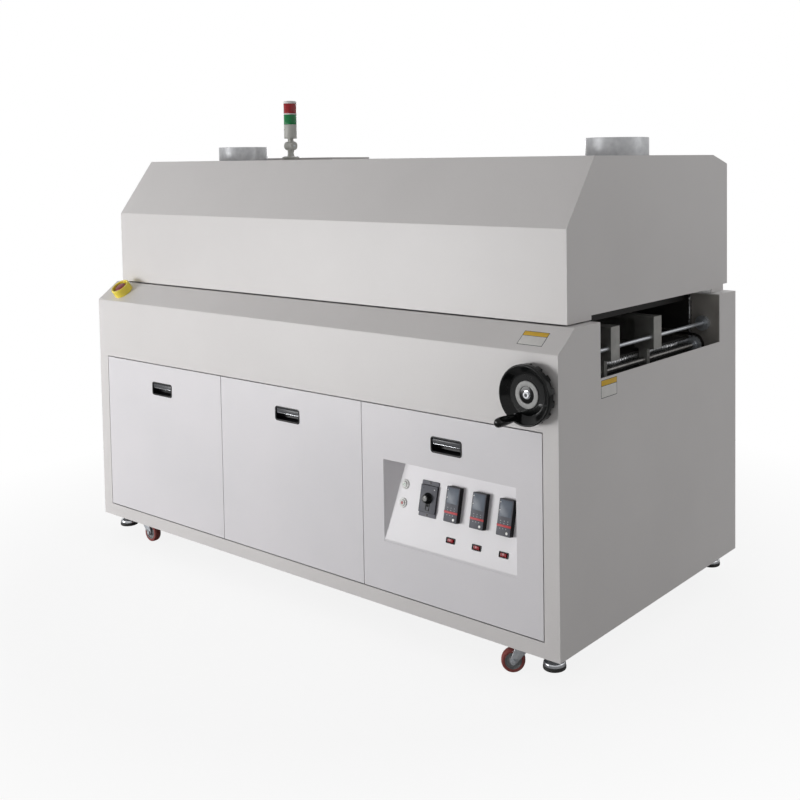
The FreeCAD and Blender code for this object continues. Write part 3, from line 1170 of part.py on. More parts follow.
def electrics():
    """Mounting plate on the rear uprights with its gear, and the cable gland in the rear panel."""
    y1 = TUBE_REAR - TUBE
    y0 = y1 - BOARD_THICK
    low = BASE + BOARD_RISE
    high = low + BOARD_HEIGHT
    left = -TRUNKING_LENGTH / 2
    parts = [box(-MULLION - TUBE / 2, MULLION + TUBE / 2, y0, y1, low, high)]
    row = high - CONTACTOR_HEIGHT
    for i in range(3):
        parts.append(contactor(left + CONTACTOR_WIDTH / 2 + CONTACTOR_PITCH * i, y0, row))
        x = TRUNKING_LENGTH / 2 - RELAY_WIDTH - RELAY_PITCH * i
        parts.append(box(x, x + RELAY_WIDTH, y0 - RELAY_DEPTH, y0, row - RELAY_HEIGHT / 2,
                         row + RELAY_HEIGHT / 2))
    duct = low + TRUNKING_HEIGHT
    parts.append(box(left, -left, y0 - TRUNKING_DEPTH, y0, duct, duct + TRUNKING_HEIGHT))
    supply = duct + 2 * TRUNKING_HEIGHT
    parts.append(box(left, left + SUPPLY_LENGTH, y0 - SUPPLY_DEPTH, y0, supply, supply + SUPPLY_HEIGHT))
    collar = prism_y(hex_points(GLAND_X, GLAND_Z, 2.7 * GLAND_BORE), REAR, REAR + 8)
    sleeve = rod(GLAND_BORE, (GLAND_X, TUBE_REAR - 12, GLAND_Z), (GLAND_X, REAR + GLAND_REACH, GLAND_Z))
    bore = rod(GLAND_BORE / 2, (GLAND_X, TUBE_REAR - 13, GLAND_Z), (GLAND_X, REAR + GLAND_REACH + 1, GLAND_Z))
    parts.append(fuse([collar, sleeve]).cut(bore))
    return parts


def main():
    os.makedirs("parts", exist_ok=True)
    export("base_frame", base_frame())
    export("front_panel", front_panel())
    export("left_end_panel", [end_panel(-1)])
    export("right_end_panel", [end_panel(1)])
    export("rear_panel", [rear_panel()])
    export("levelling_feet", levelling_feet())
    for name in CASTERS:
        export(name + "_caster_fork", [caster_fork(name)])
        export(name + "_caster_wheel", [caster_wheel(name)])
    export("tunnel_side_walls", tunnel_side_walls())
    export("lower_chamber", lower_chamber())
    export("lower_nozzle_plate", [nozzle_plate(NOZZLE_Z - CHAMBER_WALL)])
    export("fixed_rail", [fixed_rail()])
    export("movable_rail", [movable_rail()])
    export("guide_rods", guide_rods())
    export("shaft_bearings", shaft_bearings())
    export("lead_screw_right", [lead_screw(1, FRONT - HUB_FACE)])
    export("lead_screw_left", [lead_screw(-1, OPEN_FRONT)])
    export("adjust_chain", [adjust_chain()])
    export("drive_shaft", [drive_shaft()])
    export("drive_motor", [drive_motor()])
    export("hood_shell", hood_shell())
    export("hinge_brackets", hinge_brackets())
    export("upper_chamber", upper_chamber())
    export("exhaust_collars", exhaust_collars())
    export("tower_base", [tower_base()])
    export("tower_body", tower_body())
    lens_rise = TOWER_BODY_RISE + TOWER_BODY_HEIGHT
    export("tower_green_lens", [tower_lens(lens_rise)])
    export("tower_red_lens", [tower_lens(lens_rise + LENS_HEIGHT + LENS_RING)])
    for name in DOOR_CENTRES:
        export(name + "_door", [door(name)])
        export(name + "_pull", [pull(name)])
        export(name + "_flap", [flap(name)])
    export("control_tray", [control_tray()])
    export("zone_controllers", zone_controllers())
    export("speed_controller", [speed_controller()])
    export("speed_knob", [speed_knob()])
    export("speed_rocker", [speed_rocker()])
    export("button_bezels", [button_bezel(height) for height in BUTTON_HEIGHTS])
    export("stop_button", [push_button(BUTTON_HEIGHTS[0])])
    export("start_button", [push_button(BUTTON_HEIGHTS[1])])
    export("rocker_frames", [rocker_frame(x) for x in zone_places()])
    for index, x in enumerate(zone_places()):
        export("zone_%d_rocker" % (index + 1), [zone_rocker(x)])
    export("estop_guard", [estop_guard()])
    export("estop_button", [estop_button()])
    export("handwheel", handwheel())
    export("crank_grip", [crank_grip()])
    export("electrics", electrics())


main()
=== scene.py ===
import json
import math

import bmesh
import bpy
import numpy as np
from mathutils import Matrix, Vector


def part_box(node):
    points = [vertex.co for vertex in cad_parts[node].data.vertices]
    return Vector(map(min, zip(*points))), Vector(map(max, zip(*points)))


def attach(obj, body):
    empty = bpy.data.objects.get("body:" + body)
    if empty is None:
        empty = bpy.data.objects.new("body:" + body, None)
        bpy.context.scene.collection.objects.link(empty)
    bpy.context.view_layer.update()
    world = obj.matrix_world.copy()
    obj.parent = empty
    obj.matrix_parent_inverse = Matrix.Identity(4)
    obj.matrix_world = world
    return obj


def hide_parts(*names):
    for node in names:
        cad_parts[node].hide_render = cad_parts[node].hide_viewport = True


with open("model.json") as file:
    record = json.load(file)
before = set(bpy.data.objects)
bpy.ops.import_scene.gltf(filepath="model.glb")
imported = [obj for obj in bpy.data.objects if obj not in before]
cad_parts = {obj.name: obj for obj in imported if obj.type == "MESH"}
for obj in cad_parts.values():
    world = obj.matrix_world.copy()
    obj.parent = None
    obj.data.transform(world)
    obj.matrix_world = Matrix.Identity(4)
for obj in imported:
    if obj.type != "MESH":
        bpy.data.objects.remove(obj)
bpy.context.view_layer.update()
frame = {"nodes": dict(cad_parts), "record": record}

bl_info = {
    "name": "Tunnel Reflow Oven",
    "version": (1, 0, 0),
    "blender": (4, 5, 0),
    "location": "View3D > Sidebar > Oven",
    "description": "Dresses the tunnel reflow oven: finishes, controls, handwheel, tower, drive parts and casters",
    "category": "Object",
}

MM = 0.001


def box_mm(node):
    """Lowest and highest corner of a CAD node in millimetres."""
    low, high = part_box(node)
    return np.array(low) / MM, np.array(high) / MM


def middle_mm(node):
    """Middle of a CAD node's box in millimetres."""
    low, high = box_mm(node)
    return (low + high) / 2.0


JOINTS = {joint["name"]: joint for joint in frame["record"]["behaviour"]["joints"]}


def joint_mm(name):
    """Where a joint turns or starts, in millimetres."""
    return np.array(JOINTS[name]["pos_m"], dtype=float) / MM


# ---- places of the pieces, in millimetres ----
FRONT = box_mm("middle_door")[0][1]          # front sheet of the doors
DECK = box_mm("right_end_panel")[1][2]       # flat deck
MOUTH = box_mm("lower_chamber")[1][0]        # end of the heated zone
RECESS_TILT = math.radians(12.5)             # lean of the control plate
RECESS_X = middle_mm("right_door")[0]
RECESS_Z = 273.0                             # lower edge of the control plate
ZONES = (3.0, 95.0, 187.0)                   # the three zones, from the middle of the door
ZONE_RISE, ROCKER_RISE = 147.0, 49.0         # controllers and rockers, up the plate
SPEED_X, SPEED_RISE, KNOB_RISE = -91.0, 145.0, 147.0
BUTTON_X = -186.0
BUTTONS = (("stop", 118.0, "red_acrylic"), ("start", 170.0, "green_acrylic"))
SHOULDER_DROP, SHOULDER_DEPTH = 59.0, 78.0
SLOPE = math.hypot(SHOULDER_DROP, SHOULDER_DEPTH)
LOUVRE_BANK = 646.7                          # middle of each bank of louvres

# Each frame is an origin and three directions: to the right, upwards and outwards.
ACROSS = np.array([1.0, 0.0, 0.0])
BACK = np.array([0.0, 1.0, 0.0])
UP = np.array([0.0, 0.0, 1.0])
OUT = np.array([0.0, -1.0, 0.0])


def facing(x, y, z):
    """A place that faces the front."""
    return np.array([x, y, z]), ACROSS, UP, OUT


def front_frame(x, z):
    """A place on the front sheet."""
    return facing(x, FRONT, z)


def plate_frame(x, rise):
    """A place on the leaning control plate: x from the middle of the door, rise up the plate."""
    up = np.array([0.0, math.sin(RECESS_TILT), math.cos(RECESS_TILT)])
    out = np.array([0.0, -math.cos(RECESS_TILT), math.sin(RECESS_TILT)])
    return np.array([RECESS_X + x, FRONT, RECESS_Z]) + rise * up, ACROSS, up, out


def slope_frame(x, along):
    """A place on the sloped shoulder, along it from its lower edge."""
    up = np.array([0.0, SHOULDER_DEPTH, SHOULDER_DROP]) / SLOPE
    out = np.array([0.0, -SHOULDER_DROP, SHOULDER_DEPTH]) / SLOPE
    return np.array([x, FRONT, DECK - SHOULDER_DROP]) + along * up, ACROSS, up, out


def level_frame(x, y, z):
    """Lying flat: outwards is upwards."""
    return np.array([x, y, z]), ACROSS, BACK, UP


def moved(place, rise=0.0, out=0.0):
    """The same frame, moved along its own up and out."""
    origin, right, up, outwards = place
    return origin + rise * up + out * outwards, right, up, outwards


def put(points, place):
    """Local (right, up, out) coordinates carried into the row frame: origin + a*right + b*up + c*out."""
    origin, right, up, out = place
    points = np.asarray(points, dtype=float)
    return origin + points[..., 0:1] * right + points[..., 1:2] * up + points[..., 2:3] * out


# ---- outlines and surfaces ----
def soften(points, radius, closed=True, steps=3):
    """Every corner P of a line becomes the curve (1-t)^2 A + 2t(1-t) P + t^2 B, where A and B lie
    radius away from it on its two sides, or half a side away if that is less."""
    points = np.asarray(points, dtype=float)
    reach = np.broadcast_to(np.asarray(radius, dtype=float), len(points)).copy()
    if not closed:
        reach[0] = reach[-1] = 0.0
    before = np.roll(points, 1, axis=0) - points
    after = np.roll(points, -1, axis=0) - points
    size_before = np.maximum(np.linalg.norm(before, axis=1), 1e-9)
    size_after = np.maximum(np.linalg.norm(after, axis=1), 1e-9)
    start = points + before * (np.minimum(reach, size_before / 2) / size_before)[:, None]
    end = points + after * (np.minimum(reach, size_after / 2) / size_after)[:, None]
    t = np.linspace(0.0, 1.0, steps + 1)[None, :, None]
    curve = (1 - t) ** 2 * start[:, None] + 2 * t * (1 - t) * points[:, None] + t ** 2 * end[:, None]
    return curve.reshape(-1, points.shape[1])


def turns(count):
    """Angles of count equal steps round a circle."""
    return np.arange(count) * 2 * np.pi / count


def polar(radius, angle):
    """Points (r cos a, r sin a) of radius r at angles a."""
    return np.stack([radius * np.cos(angle), radius * np.sin(angle)], axis=1)


def circle(radius, count=48):
    """Outline of constant radius."""
    return polar(radius, turns(count))


def hexagon(across, count=48):
    """Radius across/2 / cos(a), where a is the angle from the nearest side's middle."""
    angle = turns(count)
    side = (angle + np.pi / 6) % (np.pi / 3) - np.pi / 6
    return polar(across / 2 / np.cos(side), angle)


def sprocket(radius, teeth, depth, count=140):
    """Radius less depth times a rounded valley between the teeth."""
    angle = turns(count)
    return polar(radius - depth * np.clip(0.5 + 0.9 * np.cos(teeth * angle), 0, 1), angle)


def area(outline):
    """Half the sum of x1 y2 - x2 y1 along an outline: positive when it is listed anticlockwise."""
    x, y = outline[:, 0], outline[:, 1]
    return float(np.sum(x * np.roll(y, -1) - y * np.roll(x, -1)) / 2)


def anticlockwise(outline):
    """The outline, reversed if it is listed clockwise."""
    return outline if area(outline) > 0 else outline[::-1]


def rectangle(width, height, radius=2.0, steps=5):
    """Rectangle whose corners are quarter circles about (+-(w/2-r), +-(h/2-r))."""
    radius = min(radius, width / 2 - 0.01, height / 2 - 0.01)
    angle = (np.linspace(0.0, np.pi / 2, steps + 1)[None, :] + np.arange(4)[:, None] * np.pi / 2).ravel()
    sign_x = np.repeat([1, -1, -1, 1], steps + 1)
    sign_y = np.repeat([1, 1, -1, -1], steps + 1)
    x = sign_x * (width / 2 - radius) + radius * np.cos(angle)
    y = sign_y * (height / 2 - radius) + radius * np.sin(angle)
    return np.stack([x, y], axis=1)


def shrink(outline, gap):
    """A smooth closed outline, listed anticlockwise, moved inwards by gap along its own normals."""
    along = np.roll(outline, -1, axis=0) - np.roll(outline, 1, axis=0)
    along /= np.maximum(np.linalg.norm(along, axis=1, keepdims=True), 1e-9)
    return outline + gap * np.stack([-along[:, 1], along[:, 0]], axis=1)


def skin(rows, ring=False, capped=True):
    """Points and faces of a grid whose columns close on themselves. ring joins the last row to the
    first; otherwise each end row is closed by one flat face."""
    rows = np.asarray(rows, dtype=float)
    count, width = rows.shape[:2]
    i, j = np.meshgrid(np.arange(count if ring else count - 1), np.arange(width), indexing="ij")
    i, j = i.ravel(), j.ravel()
    below, beside = (i + 1) % count, (j + 1) % width
    faces = np.stack([i * width + j, below * width + j, below * width + beside, i * width + beside], axis=1).tolist()
    if capped and not ring:
        faces.append(list(range(width)))
        faces.append(list(range((count - 1) * width, count * width))[::-1])
    return rows.reshape(-1, 3), faces


def raised(outline, height):
    """A flat outline lifted to one height."""
    return np.column_stack([outline, np.full(len(outline), height)])


def stack(section, levels, place, ring=False):
    """A section carried outwards: at each (inset, height) the row is section(inset) at that height."""
    rows = [raised(section(gap), height) for gap, height in levels]
    return skin(put(np.array(rows), place), ring)


def rounded(low, high, edge):
    """Levels between two heights whose ends curve in by edge: inset edge(1-sin a) at edge(1-cos a)."""
    angle = np.linspace(0.0, np.pi / 2, 4)
    gaps, heights = edge * (1 - np.sin(angle)), edge * (1 - np.cos(angle))
    return list(zip(gaps, low + heights)) + list(zip(gaps[::-1], high - heights[::-1]))


def slab(outline, low, high, edge, place):
    """An outline between two heights with its edges rounded over."""
    return stack(lambda gap: shrink(outline, gap), rounded(low, high, edge), place)


def inset(width, height, radius, least=0.5, share=1.0):
    """A rectangle as a function of its inset, whose corner radius falls by share of the inset."""
    return lambda gap: rectangle(width - 2 * gap, height - 2 * gap, max(radius - gap * share, least))


def box_slab(width, height, low, high, place, radius=2.0, edge=0.5):
    """A rectangle between two heights with round corners and its edges rounded over."""
    return stack(inset(width, height, radius, 0.2), rounded(low, high, edge), place)


def turned(profile, place, radius=0.8, count=56, closed=False, flutes=None):
    """A (radius, height) profile with softened corners turned about the outward axis:
    (r cos a, r sin a, h). flutes(a, r, h) may add to the radius."""
    profile = soften(profile, radius, closed)
    angle = turns(count)
    r = np.repeat(profile[:, 0:1], count, axis=1)
    h = np.repeat(profile[:, 1:2], count, axis=1)
    if flutes is not None:
        r = r + flutes(angle[None, :], r, h)
    rows = np.stack([r * np.cos(angle), r * np.sin(angle), h], axis=2)
    return skin(put(rows, place), closed, capped=False)


def stud(radius, low, high, top, place, soft, count):
    """A round stud from low to high whose end rises to top at its middle."""
    return turned([(0, low), (radius, low), (radius, high), (0, top)], place, soft, count)


def piece(name, shells, finishes, body, replaces=()):
    """Joins shells of (points, faces, finish number) into one object. Each shell has its doubles
    merged, which closes its poles, and its faces turned outwards before it is added."""
    whole = bmesh.new()
    for (points, faces), finish in shells:
        part = bpy.data.meshes.new(name)
        part.from_pydata((points * MM).tolist(), [], faces)
        part.polygons.foreach_set("material_index", np.full(len(part.polygons), finish, dtype=np.int32))
        one = bmesh.new()
        one.from_mesh(part)
        bmesh.ops.remove_doubles(one, verts=one.verts, dist=2e-6)
        bmesh.ops.recalc_face_normals(one, faces=one.faces)
        one.to_mesh(part)
        one.free()
        whole.from_mesh(part)
        bpy.data.meshes.remove(part)
    mesh = bpy.data.meshes.new(name)
    whole.to_mesh(mesh)
    whole.free()
    for finish in finishes:
        mesh.materials.append(material(finish))
    mesh.shade_smooth()
    mesh.set_sharp_from_angle(angle=math.radians(32))
    made = bpy.data.objects.new(name, mesh)
    bpy.context.scene.collection.objects.link(made)
    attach(made, body)
    if replaces:
        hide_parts(*replaces)
    return made


# ---- materials ----
def linear(code):
    """An sRGB hex colour, or the panel's colour of that name, as a linear RGBA value."""
    if not code.startswith("#"):
        return list(getattr(bpy.context.scene.oven_colours, code)) + [1.0]
    parts = [int(code[i:i + 2], 16) / 255 for i in (1, 3, 5)]
    return [p / 12.92 if p <= 0.04045 else ((p + 0.055) / 1.055) ** 2.4 for p in parts] + [1.0]


def add(tree, kind, inputs=(), **settings):
    """Adds one shader node, sets its properties, and sets or links the inputs given by name."""
    node = tree.nodes.new("ShaderNode" + kind)
    for key, value in settings.items():
        setattr(node, key, value)
    for key, value in dict(inputs).items():
        if isinstance(value, bpy.types.NodeSocket):
            tree.links.new(value, node.inputs[key])
        else:
            node.inputs[key].default_value = value
    return node


def emptied(owner):
    """The cleared node tree of a material or world."""
    owner.use_nodes = True
    owner.node_tree.nodes.clear()
    return owner.node_tree


def per_mm(size):
    """Scale of a noise or wave whose features are this many millimetres wide, in object metres."""
    return 1000.0 / size


def finish(name, colour, shade, roughness, metallic, patch, grain, depth, more=None):
    """A material of two near colours in soft patches, a fine grain in its bump and a roughness that
    wanders by spread. patch and grain are in mm, depth is the height of the grain in mm, stretch
    divides the grain's size along x, y and z, and speckle darkens single grains. stain is a colour
    and two heights in metres: full below the first, gone above the second. specular goes to the
    shader's own socket."""
    more = {"stretch": (1, 1, 1), "speckle": 0.0, "spread": 0.06, "stain": None, "specular": 0.5, **(more or {})}
    speckle, spread, stain = more["speckle"], more["spread"], more["stain"]
    made = bpy.data.materials.new(name)
    tree = emptied(made)
    where = add(tree, "TexCoord").outputs["Object"]
    drawn = add(tree, "Mapping", {"Vector": where, "Scale": more["stretch"]}).outputs["Vector"]
    cloud = add(tree, "TexNoise", {"Vector": where, "Scale": per_mm(patch), "Detail": 3.0}).outputs["Fac"]
    grains = add(tree, "TexNoise", {"Vector": drawn, "Scale": per_mm(grain), "Detail": 2.0}).outputs["Fac"]
    amount = add(tree, "MapRange", {"Value": cloud, "From Min": 0.3, "From Max": 0.7}).outputs["Result"]
    mixed = add(tree, "MixRGB", {"Fac": amount, "Color1": linear(colour), "Color2": linear(shade)})
    if speckle:
        spots = add(tree, "MapRange", {"Value": grains, "From Min": 0.62, "From Max": 0.8,
                                                 "To Min": 0.0, "To Max": speckle}).outputs["Result"]
        mixed = add(tree, "MixRGB", {"Fac": spots, "Color1": mixed.outputs["Color"],
                                               "Color2": [0.0, 0.0, 0.0, 1.0]})
    # Blends to a second colour below a height; on the upper chamber this makes it darker towards its lower edge.
    if stain:
        height = add(tree, "SeparateXYZ", {"Vector": where}).outputs["Z"]
        below = add(tree, "MapRange", {"Value": height, "From Min": stain[2], "From Max": stain[1]})
        mixed = add(tree, "MixRGB", {"Fac": below.outputs["Result"], "Color1": mixed.outputs["Color"],
                                               "Color2": linear(stain[0])})
    rough = add(tree, "MapRange", {"Value": grains, "From Min": 0.25, "From Max": 0.75,
                                             "To Min": max(roughness - spread, 0.02),
                                             "To Max": roughness + spread}).outputs["Result"]
    bump = add(tree, "Bump", {"Height": grains, "Strength": 1.0, "Distance": depth * MM})
    values = {"Base Color": mixed.outputs["Color"], "Roughness": rough, "Normal": bump.outputs["Normal"],
              "Metallic": metallic, "Specular IOR Level": more["specular"]}
    surface = add(tree, "BsdfPrincipled", values)
    add(tree, "OutputMaterial", {"Surface": surface.outputs["BSDF"]})
    return made


# Each row: first colour, second colour, roughness, metallic, patch in mm, grain in mm, depth of the
# grain in mm, and what differs from the defaults of finish. A colour without # is a panel setting.
FINISHES = {
    # Polyester powder coat on folded steel, sprayed and baked: satin, with a fine orange peel.
    "white_powder_coat": ("cabinet", "#DAD7D6", 0.42, 0.0, 420, 1.6, 0.012, {"speckle": 0.1}),
    # The same coat on the doors and the control tray, a shade cooler and smoother.
    "door_powder_coat": ("#E8E5E8", "#E2E0E3", 0.38, 0.0, 420, 1.6, 0.01, {"speckle": 0.08}),
    # Grey primer and topcoat on welded square tube: duller, with drips and dust.
    "frame_primer": ("#B9BBBC", "#A8AAAC", 0.55, 0.0, 90, 1.2, 0.03),
    # Heat-resistant grey paint on the tunnel's cheeks, warmed to brown in patches.
    "stove_grey_paint": ("#A8A49F", "#8F8A84", 0.6, 0.0, 110, 1.4, 0.03),
    # Cold-rolled steel inside the tunnel, coloured nearly black all over.
    "heat_stained_steel": ("#3A3836", "#232222", 0.6, 0.5, 70, 2.0, 0.03),
    # Galvanised sheet of the upper hot-air chamber: pale spangles, darker towards its lower edge.
    "galvanised_sheet": ("#8E9092", "#787B7E", 0.45, 0.7, 14, 3.0, 0.01, {"stain": ("#1E1D1C", 0.96, 1.06)}),
    # Galvanised spiral duct: cool grey, bright where it turns away.
    "galvanised_duct": ("#C9CACC", "#B9BABD", 0.4, 0.45, 16, 2.4, 0.006),
    # Extruded and anodised aluminium of the board rails, painted darker than bare aluminium as painted shade for the
    # inside of the tunnel: drawn lines lengthwise.
    "anodised_aluminium": ("#A09F9C", "#8C8B88", 0.42, 0.6, 40, 0.8, 0.008,
                           {"stretch": (0.02, 1, 1), "spread": 0.1}),
    # Ground and chromed steel rod, hazed by heat: a broad soft streak of light.
    "polished_rod": ("#C4C7CB", "#B2B6BB", 0.3, 0.7, 40, 0.6, 0.003, {"stretch": (0.2, 1, 0.2)}),
    # Zinc-plated pressed and turned steel: cool, faintly blue, softly cloudy.
    "zinc_plate": ("#C2C5C9", "#AEB2B7", 0.34, 0.6, 9, 0.6, 0.006),
    # Rolled thread of the lead screws, oiled: dark in the roots.
    "oiled_screw_steel": ("#8D8C8A", "#6F6D6A", 0.3, 0.8, 12, 0.7, 0.006),
    # Roller chain and socket screws, blackened and oiled.
    "oiled_chain_steel": ("#4B4948", "#37342F", 0.34, 0.9, 6, 0.7, 0.01),
    # Cast aluminium gear motor under grey machine enamel.
    "motor_enamel": ("#5E6468", "#54595D", 0.4, 0.0, 30, 1.4, 0.03),
    # Machined aluminium ring in the hub, with turning marks.
    "turned_aluminium": ("#8E8E8D", "#7F7F7E", 0.55, 0.5, 12, 0.4, 0.006),
    # Glossy phenolic moulding of the handwheel: deep black with a weak, sharp reflection.
    "black_phenolic": ("#0B0C0C", "#121313", 0.14, 0.0, 30, 0.7, 0.002, {"spread": 0.03, "specular": 0.18}),
    # Moulded ABS fascia of the instruments: slate grey with a spark-eroded grain.
    "instrument_abs": ("instrument", "#4A4B53", 0.46, 0.0, 20, 0.5, 0.02, {"specular": 0.3}),
    # Mounting strips of the speed unit: the same ABS, paler.
    "strip_abs": ("#6D6D75", "#64646C", 0.48, 0.0, 20, 0.5, 0.02, {"specular": 0.3}),
    # Black nylon of pulls, cases and switch frames: satin.
    "black_nylon": ("#111113", "#17171A", 0.34, 0.0, 20, 0.5, 0.012, {"specular": 0.25}),
    # Dark moulded flap of the pull: smooth, a shade lighter than its frame.
    "flap_nylon": ("#46474B", "#3D3E42", 0.26, 0.0, 16, 0.5, 0.008, {"specular": 0.4}),
    # Filter window of the controllers: blue-grey acrylic, matted against glare.
    "display_window": ("#535E6D", "#4A5462", 0.32, 0.0, 24, 0.9, 0.004, {"specular": 0.3}),
    # Frosted acrylic of the button caps, a shade greyer than their rings.
    "frosted_acrylic": ("#D2D2CF", "#C8C8C5", 0.36, 0.0, 12, 0.6, 0.006),
    # White moulded acrylic of the button rings and indicator dots.
    "white_acrylic": ("#E9E9E6", "#E0E0DD", 0.26, 0.0, 12, 0.6, 0.004),
    # Green print under clear acrylic on the start button.
    "green_acrylic": ("#3F8A5C", "#4E9A6B", 0.22, 0.0, 8, 0.6, 0.003),
    # Translucent red acrylic of the stop button and the rockers.
    "red_acrylic": ("#A41B26", "#8C1620", 0.26, 0.0, 8, 0.6, 0.003, {"specular": 0.3}),
    # Red band printed across the controllers' fascia: opaque and satin.
    "stripe_red": ("#C9323B", "#BD2C35", 0.4, 0.0, 10, 0.6, 0.002, {"specular": 0.3}),
    # Small keys moulded in pale grey.
    "key_grey": ("#A5A6AC", "#97989E", 0.4, 0.0, 10, 0.6, 0.004),
    # Dark red polycarbonate of the emergency mushroom head: glossy.
    "mushroom_red": ("#8E0F18", "#7A0C14", 0.2, 0.0, 14, 0.8, 0.004, {"spread": 0.04, "specular": 0.4}),
    # Yellow polyamide of the emergency stop guard: satin, warmer inside.
    "guard_yellow": ("#F0B41A", "#E8A412", 0.34, 0.0, 18, 0.6, 0.01),
    # Light grey ABS of the signal tower.
    "tower_abs": ("#CBCBC5", "#C1C2BC", 0.4, 0.0, 24, 0.5, 0.01),
    # Ivory ABS rings and cap of the signal tower.
    "tower_ivory": ("#ECEAE4", "#E4E1DA", 0.34, 0.0, 24, 0.5, 0.006),
    # Green polycarbonate lens: deep colour, smooth, ribbed inside.
    "green_lens": ("#008A48", "#00763C", 0.16, 0.0, 10, 0.9, 0.002, {"spread": 0.03, "specular": 0.25}),
    # Red polycarbonate lens.
    "red_lens": ("#A81A22", "#94151D", 0.16, 0.0, 10, 0.9, 0.002, {"spread": 0.03, "specular": 0.25}),
    # Chromed cup of the levelling feet, and the socket screw of the hub. It also makes the thin strip along the flaps'
    # lower edge, a painted highlight.
    "chrome": ("#C6C8CB", "#B4B6BA", 0.12, 1.0, 30, 1.0, 0.001, {"spread": 0.03}),
    # Vulcanised rubber under the feet: black and dusty.
    "black_rubber": ("#1C1B1B", "#2B2A29", 0.72, 0.0, 12, 0.8, 0.03),
    # Open-cell filter foam behind the louvres: charcoal, coarse and quite without shine.
    "filter_foam": ("#2A2A2B", "#161617", 0.92, 0.0, 4, 2.5, 0.5),
    # Cast polyurethane tread of the casters: dark red-brown, scuffed.
    "caster_tread": ("#4C211D", "#381A18", 0.45, 0.0, 10, 1.0, 0.02, {"specular": 0.3}),
    # Grey nylon wheel centre.
    "wheel_nylon": ("#8B8C8D", "#7D7E80", 0.42, 0.0, 12, 0.6, 0.01),
    # Crumpled aluminium foil over the insulation at the tunnel mouth.
    "crumpled_foil": ("#B4B5B6", "#7C7D7F", 0.3, 0.9, 8, 5.0, 0.5),
    # Plain printed film plates: yellow, white and black, slightly glossy.
    "film_yellow": ("#E6B91C", "#DDAE14", 0.36, 0.0, 20, 0.6, 0.002),
    "film_white": ("#E6E4E1", "#DEDCD9", 0.36, 0.0, 20, 0.6, 0.002),
    # The black also stands for painted shade: in the handwheel's hole, at the bottom of the hub screw's socket and in
    # the tower's small hole.
    "film_black": ("#1A1A1B", "#222223", 0.36, 0.0, 20, 0.6, 0.002),
}


def material(name):
    """The finish of that name, built once."""
    return bpy.data.materials.get(name) or finish(name, *FINISHES[name])


# ---- settings a user may change ----
class OvenColours(bpy.types.PropertyGroup):
    cabinet: bpy.props.FloatVectorProperty(
        name="Cabinet", description="Powder coat of the cabinet and hood", subtype="COLOR", size=3,
        min=0.0, max=1.0, default=linear("#DFDCDB")[:3])
    instrument: bpy.props.FloatVectorProperty(
        name="Instruments", description="Moulded cases of the controllers", subtype="COLOR", size=3,
        min=0.0, max=1.0, default=linear("#53545D")[:3])


class OvenControls(bpy.types.PropertyGroup):
    knob_radius: bpy.props.FloatProperty(
        name="Knob Radius", description="Radius of the speed knob above its skirt", default=0.014,
        min=0.008, max=0.016, unit="LENGTH")
    button_radius: bpy.props.FloatProperty(
        name="Button Radius", description="Radius of the start and stop caps", default=0.009,
        min=0.006, max=0.009, unit="LENGTH")
    case_corner: bpy.props.FloatProperty(
        name="Case Corner", description="Corner radius of the controller bezels", default=0.0025,
        min=0.0005, max=0.006, unit="LENGTH")


class OvenHandwheel(bpy.types.PropertyGroup):
    lobes: bpy.props.IntProperty(
        name="Lobes", description="Finger grips round the rear of the rim", default=14, min=6, max=24)
    lobe_depth: bpy.props.FloatProperty(
        name="Lobe Depth", description="Depth of the gaps between the lobes", default=0.0055,
        min=0.001, max=0.008, unit="LENGTH")
    thread_pitch: bpy.props.FloatProperty(
        name="Thread Pitch", description="Pitch of the lead screws", default=0.010, min=0.004, max=0.016,
        unit="LENGTH")


class OvenRunningGear(bpy.types.PropertyGroup):
    tread_radius: bpy.props.FloatProperty(
        name="Tread Radius", description="Radius of the caster wheels", default=0.0325, min=0.02, max=0.0325,
        unit="LENGTH")
    chain_pitch: bpy.props.FloatProperty(
        name="Chain Pitch", description="Distance between the pins of the adjusting chain", default=0.0127,
        min=0.008, max=0.02, unit="LENGTH")


class OvenStage(bpy.types.PropertyGroup):
    key_power: bpy.props.FloatProperty(
        name="Key Power", description="Power of the soft lamp in front and to the left, in watts", default=157.0,
        min=10.0, max=800.0, unit="POWER")
    ambient: bpy.props.FloatProperty(
        name="Ambient", description="Level of the soft light from above", default=0.37, min=0.0, max=1.0,
        subtype="FACTOR")
    focal_length: bpy.props.FloatProperty(
        name="Focal Length", description="Focal length of the camera in millimetres", default=48.35, min=20.0,
        max=120.0, unit="CAMERA")


# ---- finishes of the carried-over nodes ----
NODE_FINISH = {
    "white_powder_coat": ("front_panel", "left_end_panel", "right_end_panel", "rear_panel", "hood_shell"),
    "door_powder_coat": ("left_door", "middle_door", "right_door", "control_tray"),
    "frame_primer": ("base_frame",),
    "stove_grey_paint": ("tunnel_side_walls",),
    "heat_stained_steel": ("lower_chamber", "lower_nozzle_plate"),
    "galvanised_sheet": ("upper_chamber",),
    "anodised_aluminium": ("fixed_rail", "movable_rail"),
    "polished_rod": ("guide_rods", "drive_shaft"),
    "zinc_plate": ("shaft_bearings", "hinge_brackets"),
    "motor_enamel": ("drive_motor",),
    "instrument_abs": ("electrics",),
}


class OVEN_OT_sheet_metal(bpy.types.Operator):
    """Gives every carried-over CAD node its finish"""
    bl_idname = "oven.sheet_metal"
    bl_label = "Sheet Metal and Frame"

    def execute(self, context):
        for name, nodes in NODE_FINISH.items():
            for node in nodes:
                shown = frame["nodes"][node]
                if not shown.material_slots:
                    shown.data.materials.append(material(name))
                for place in shown.material_slots:
                    place.material = material(name)
        return {"FINISHED"}


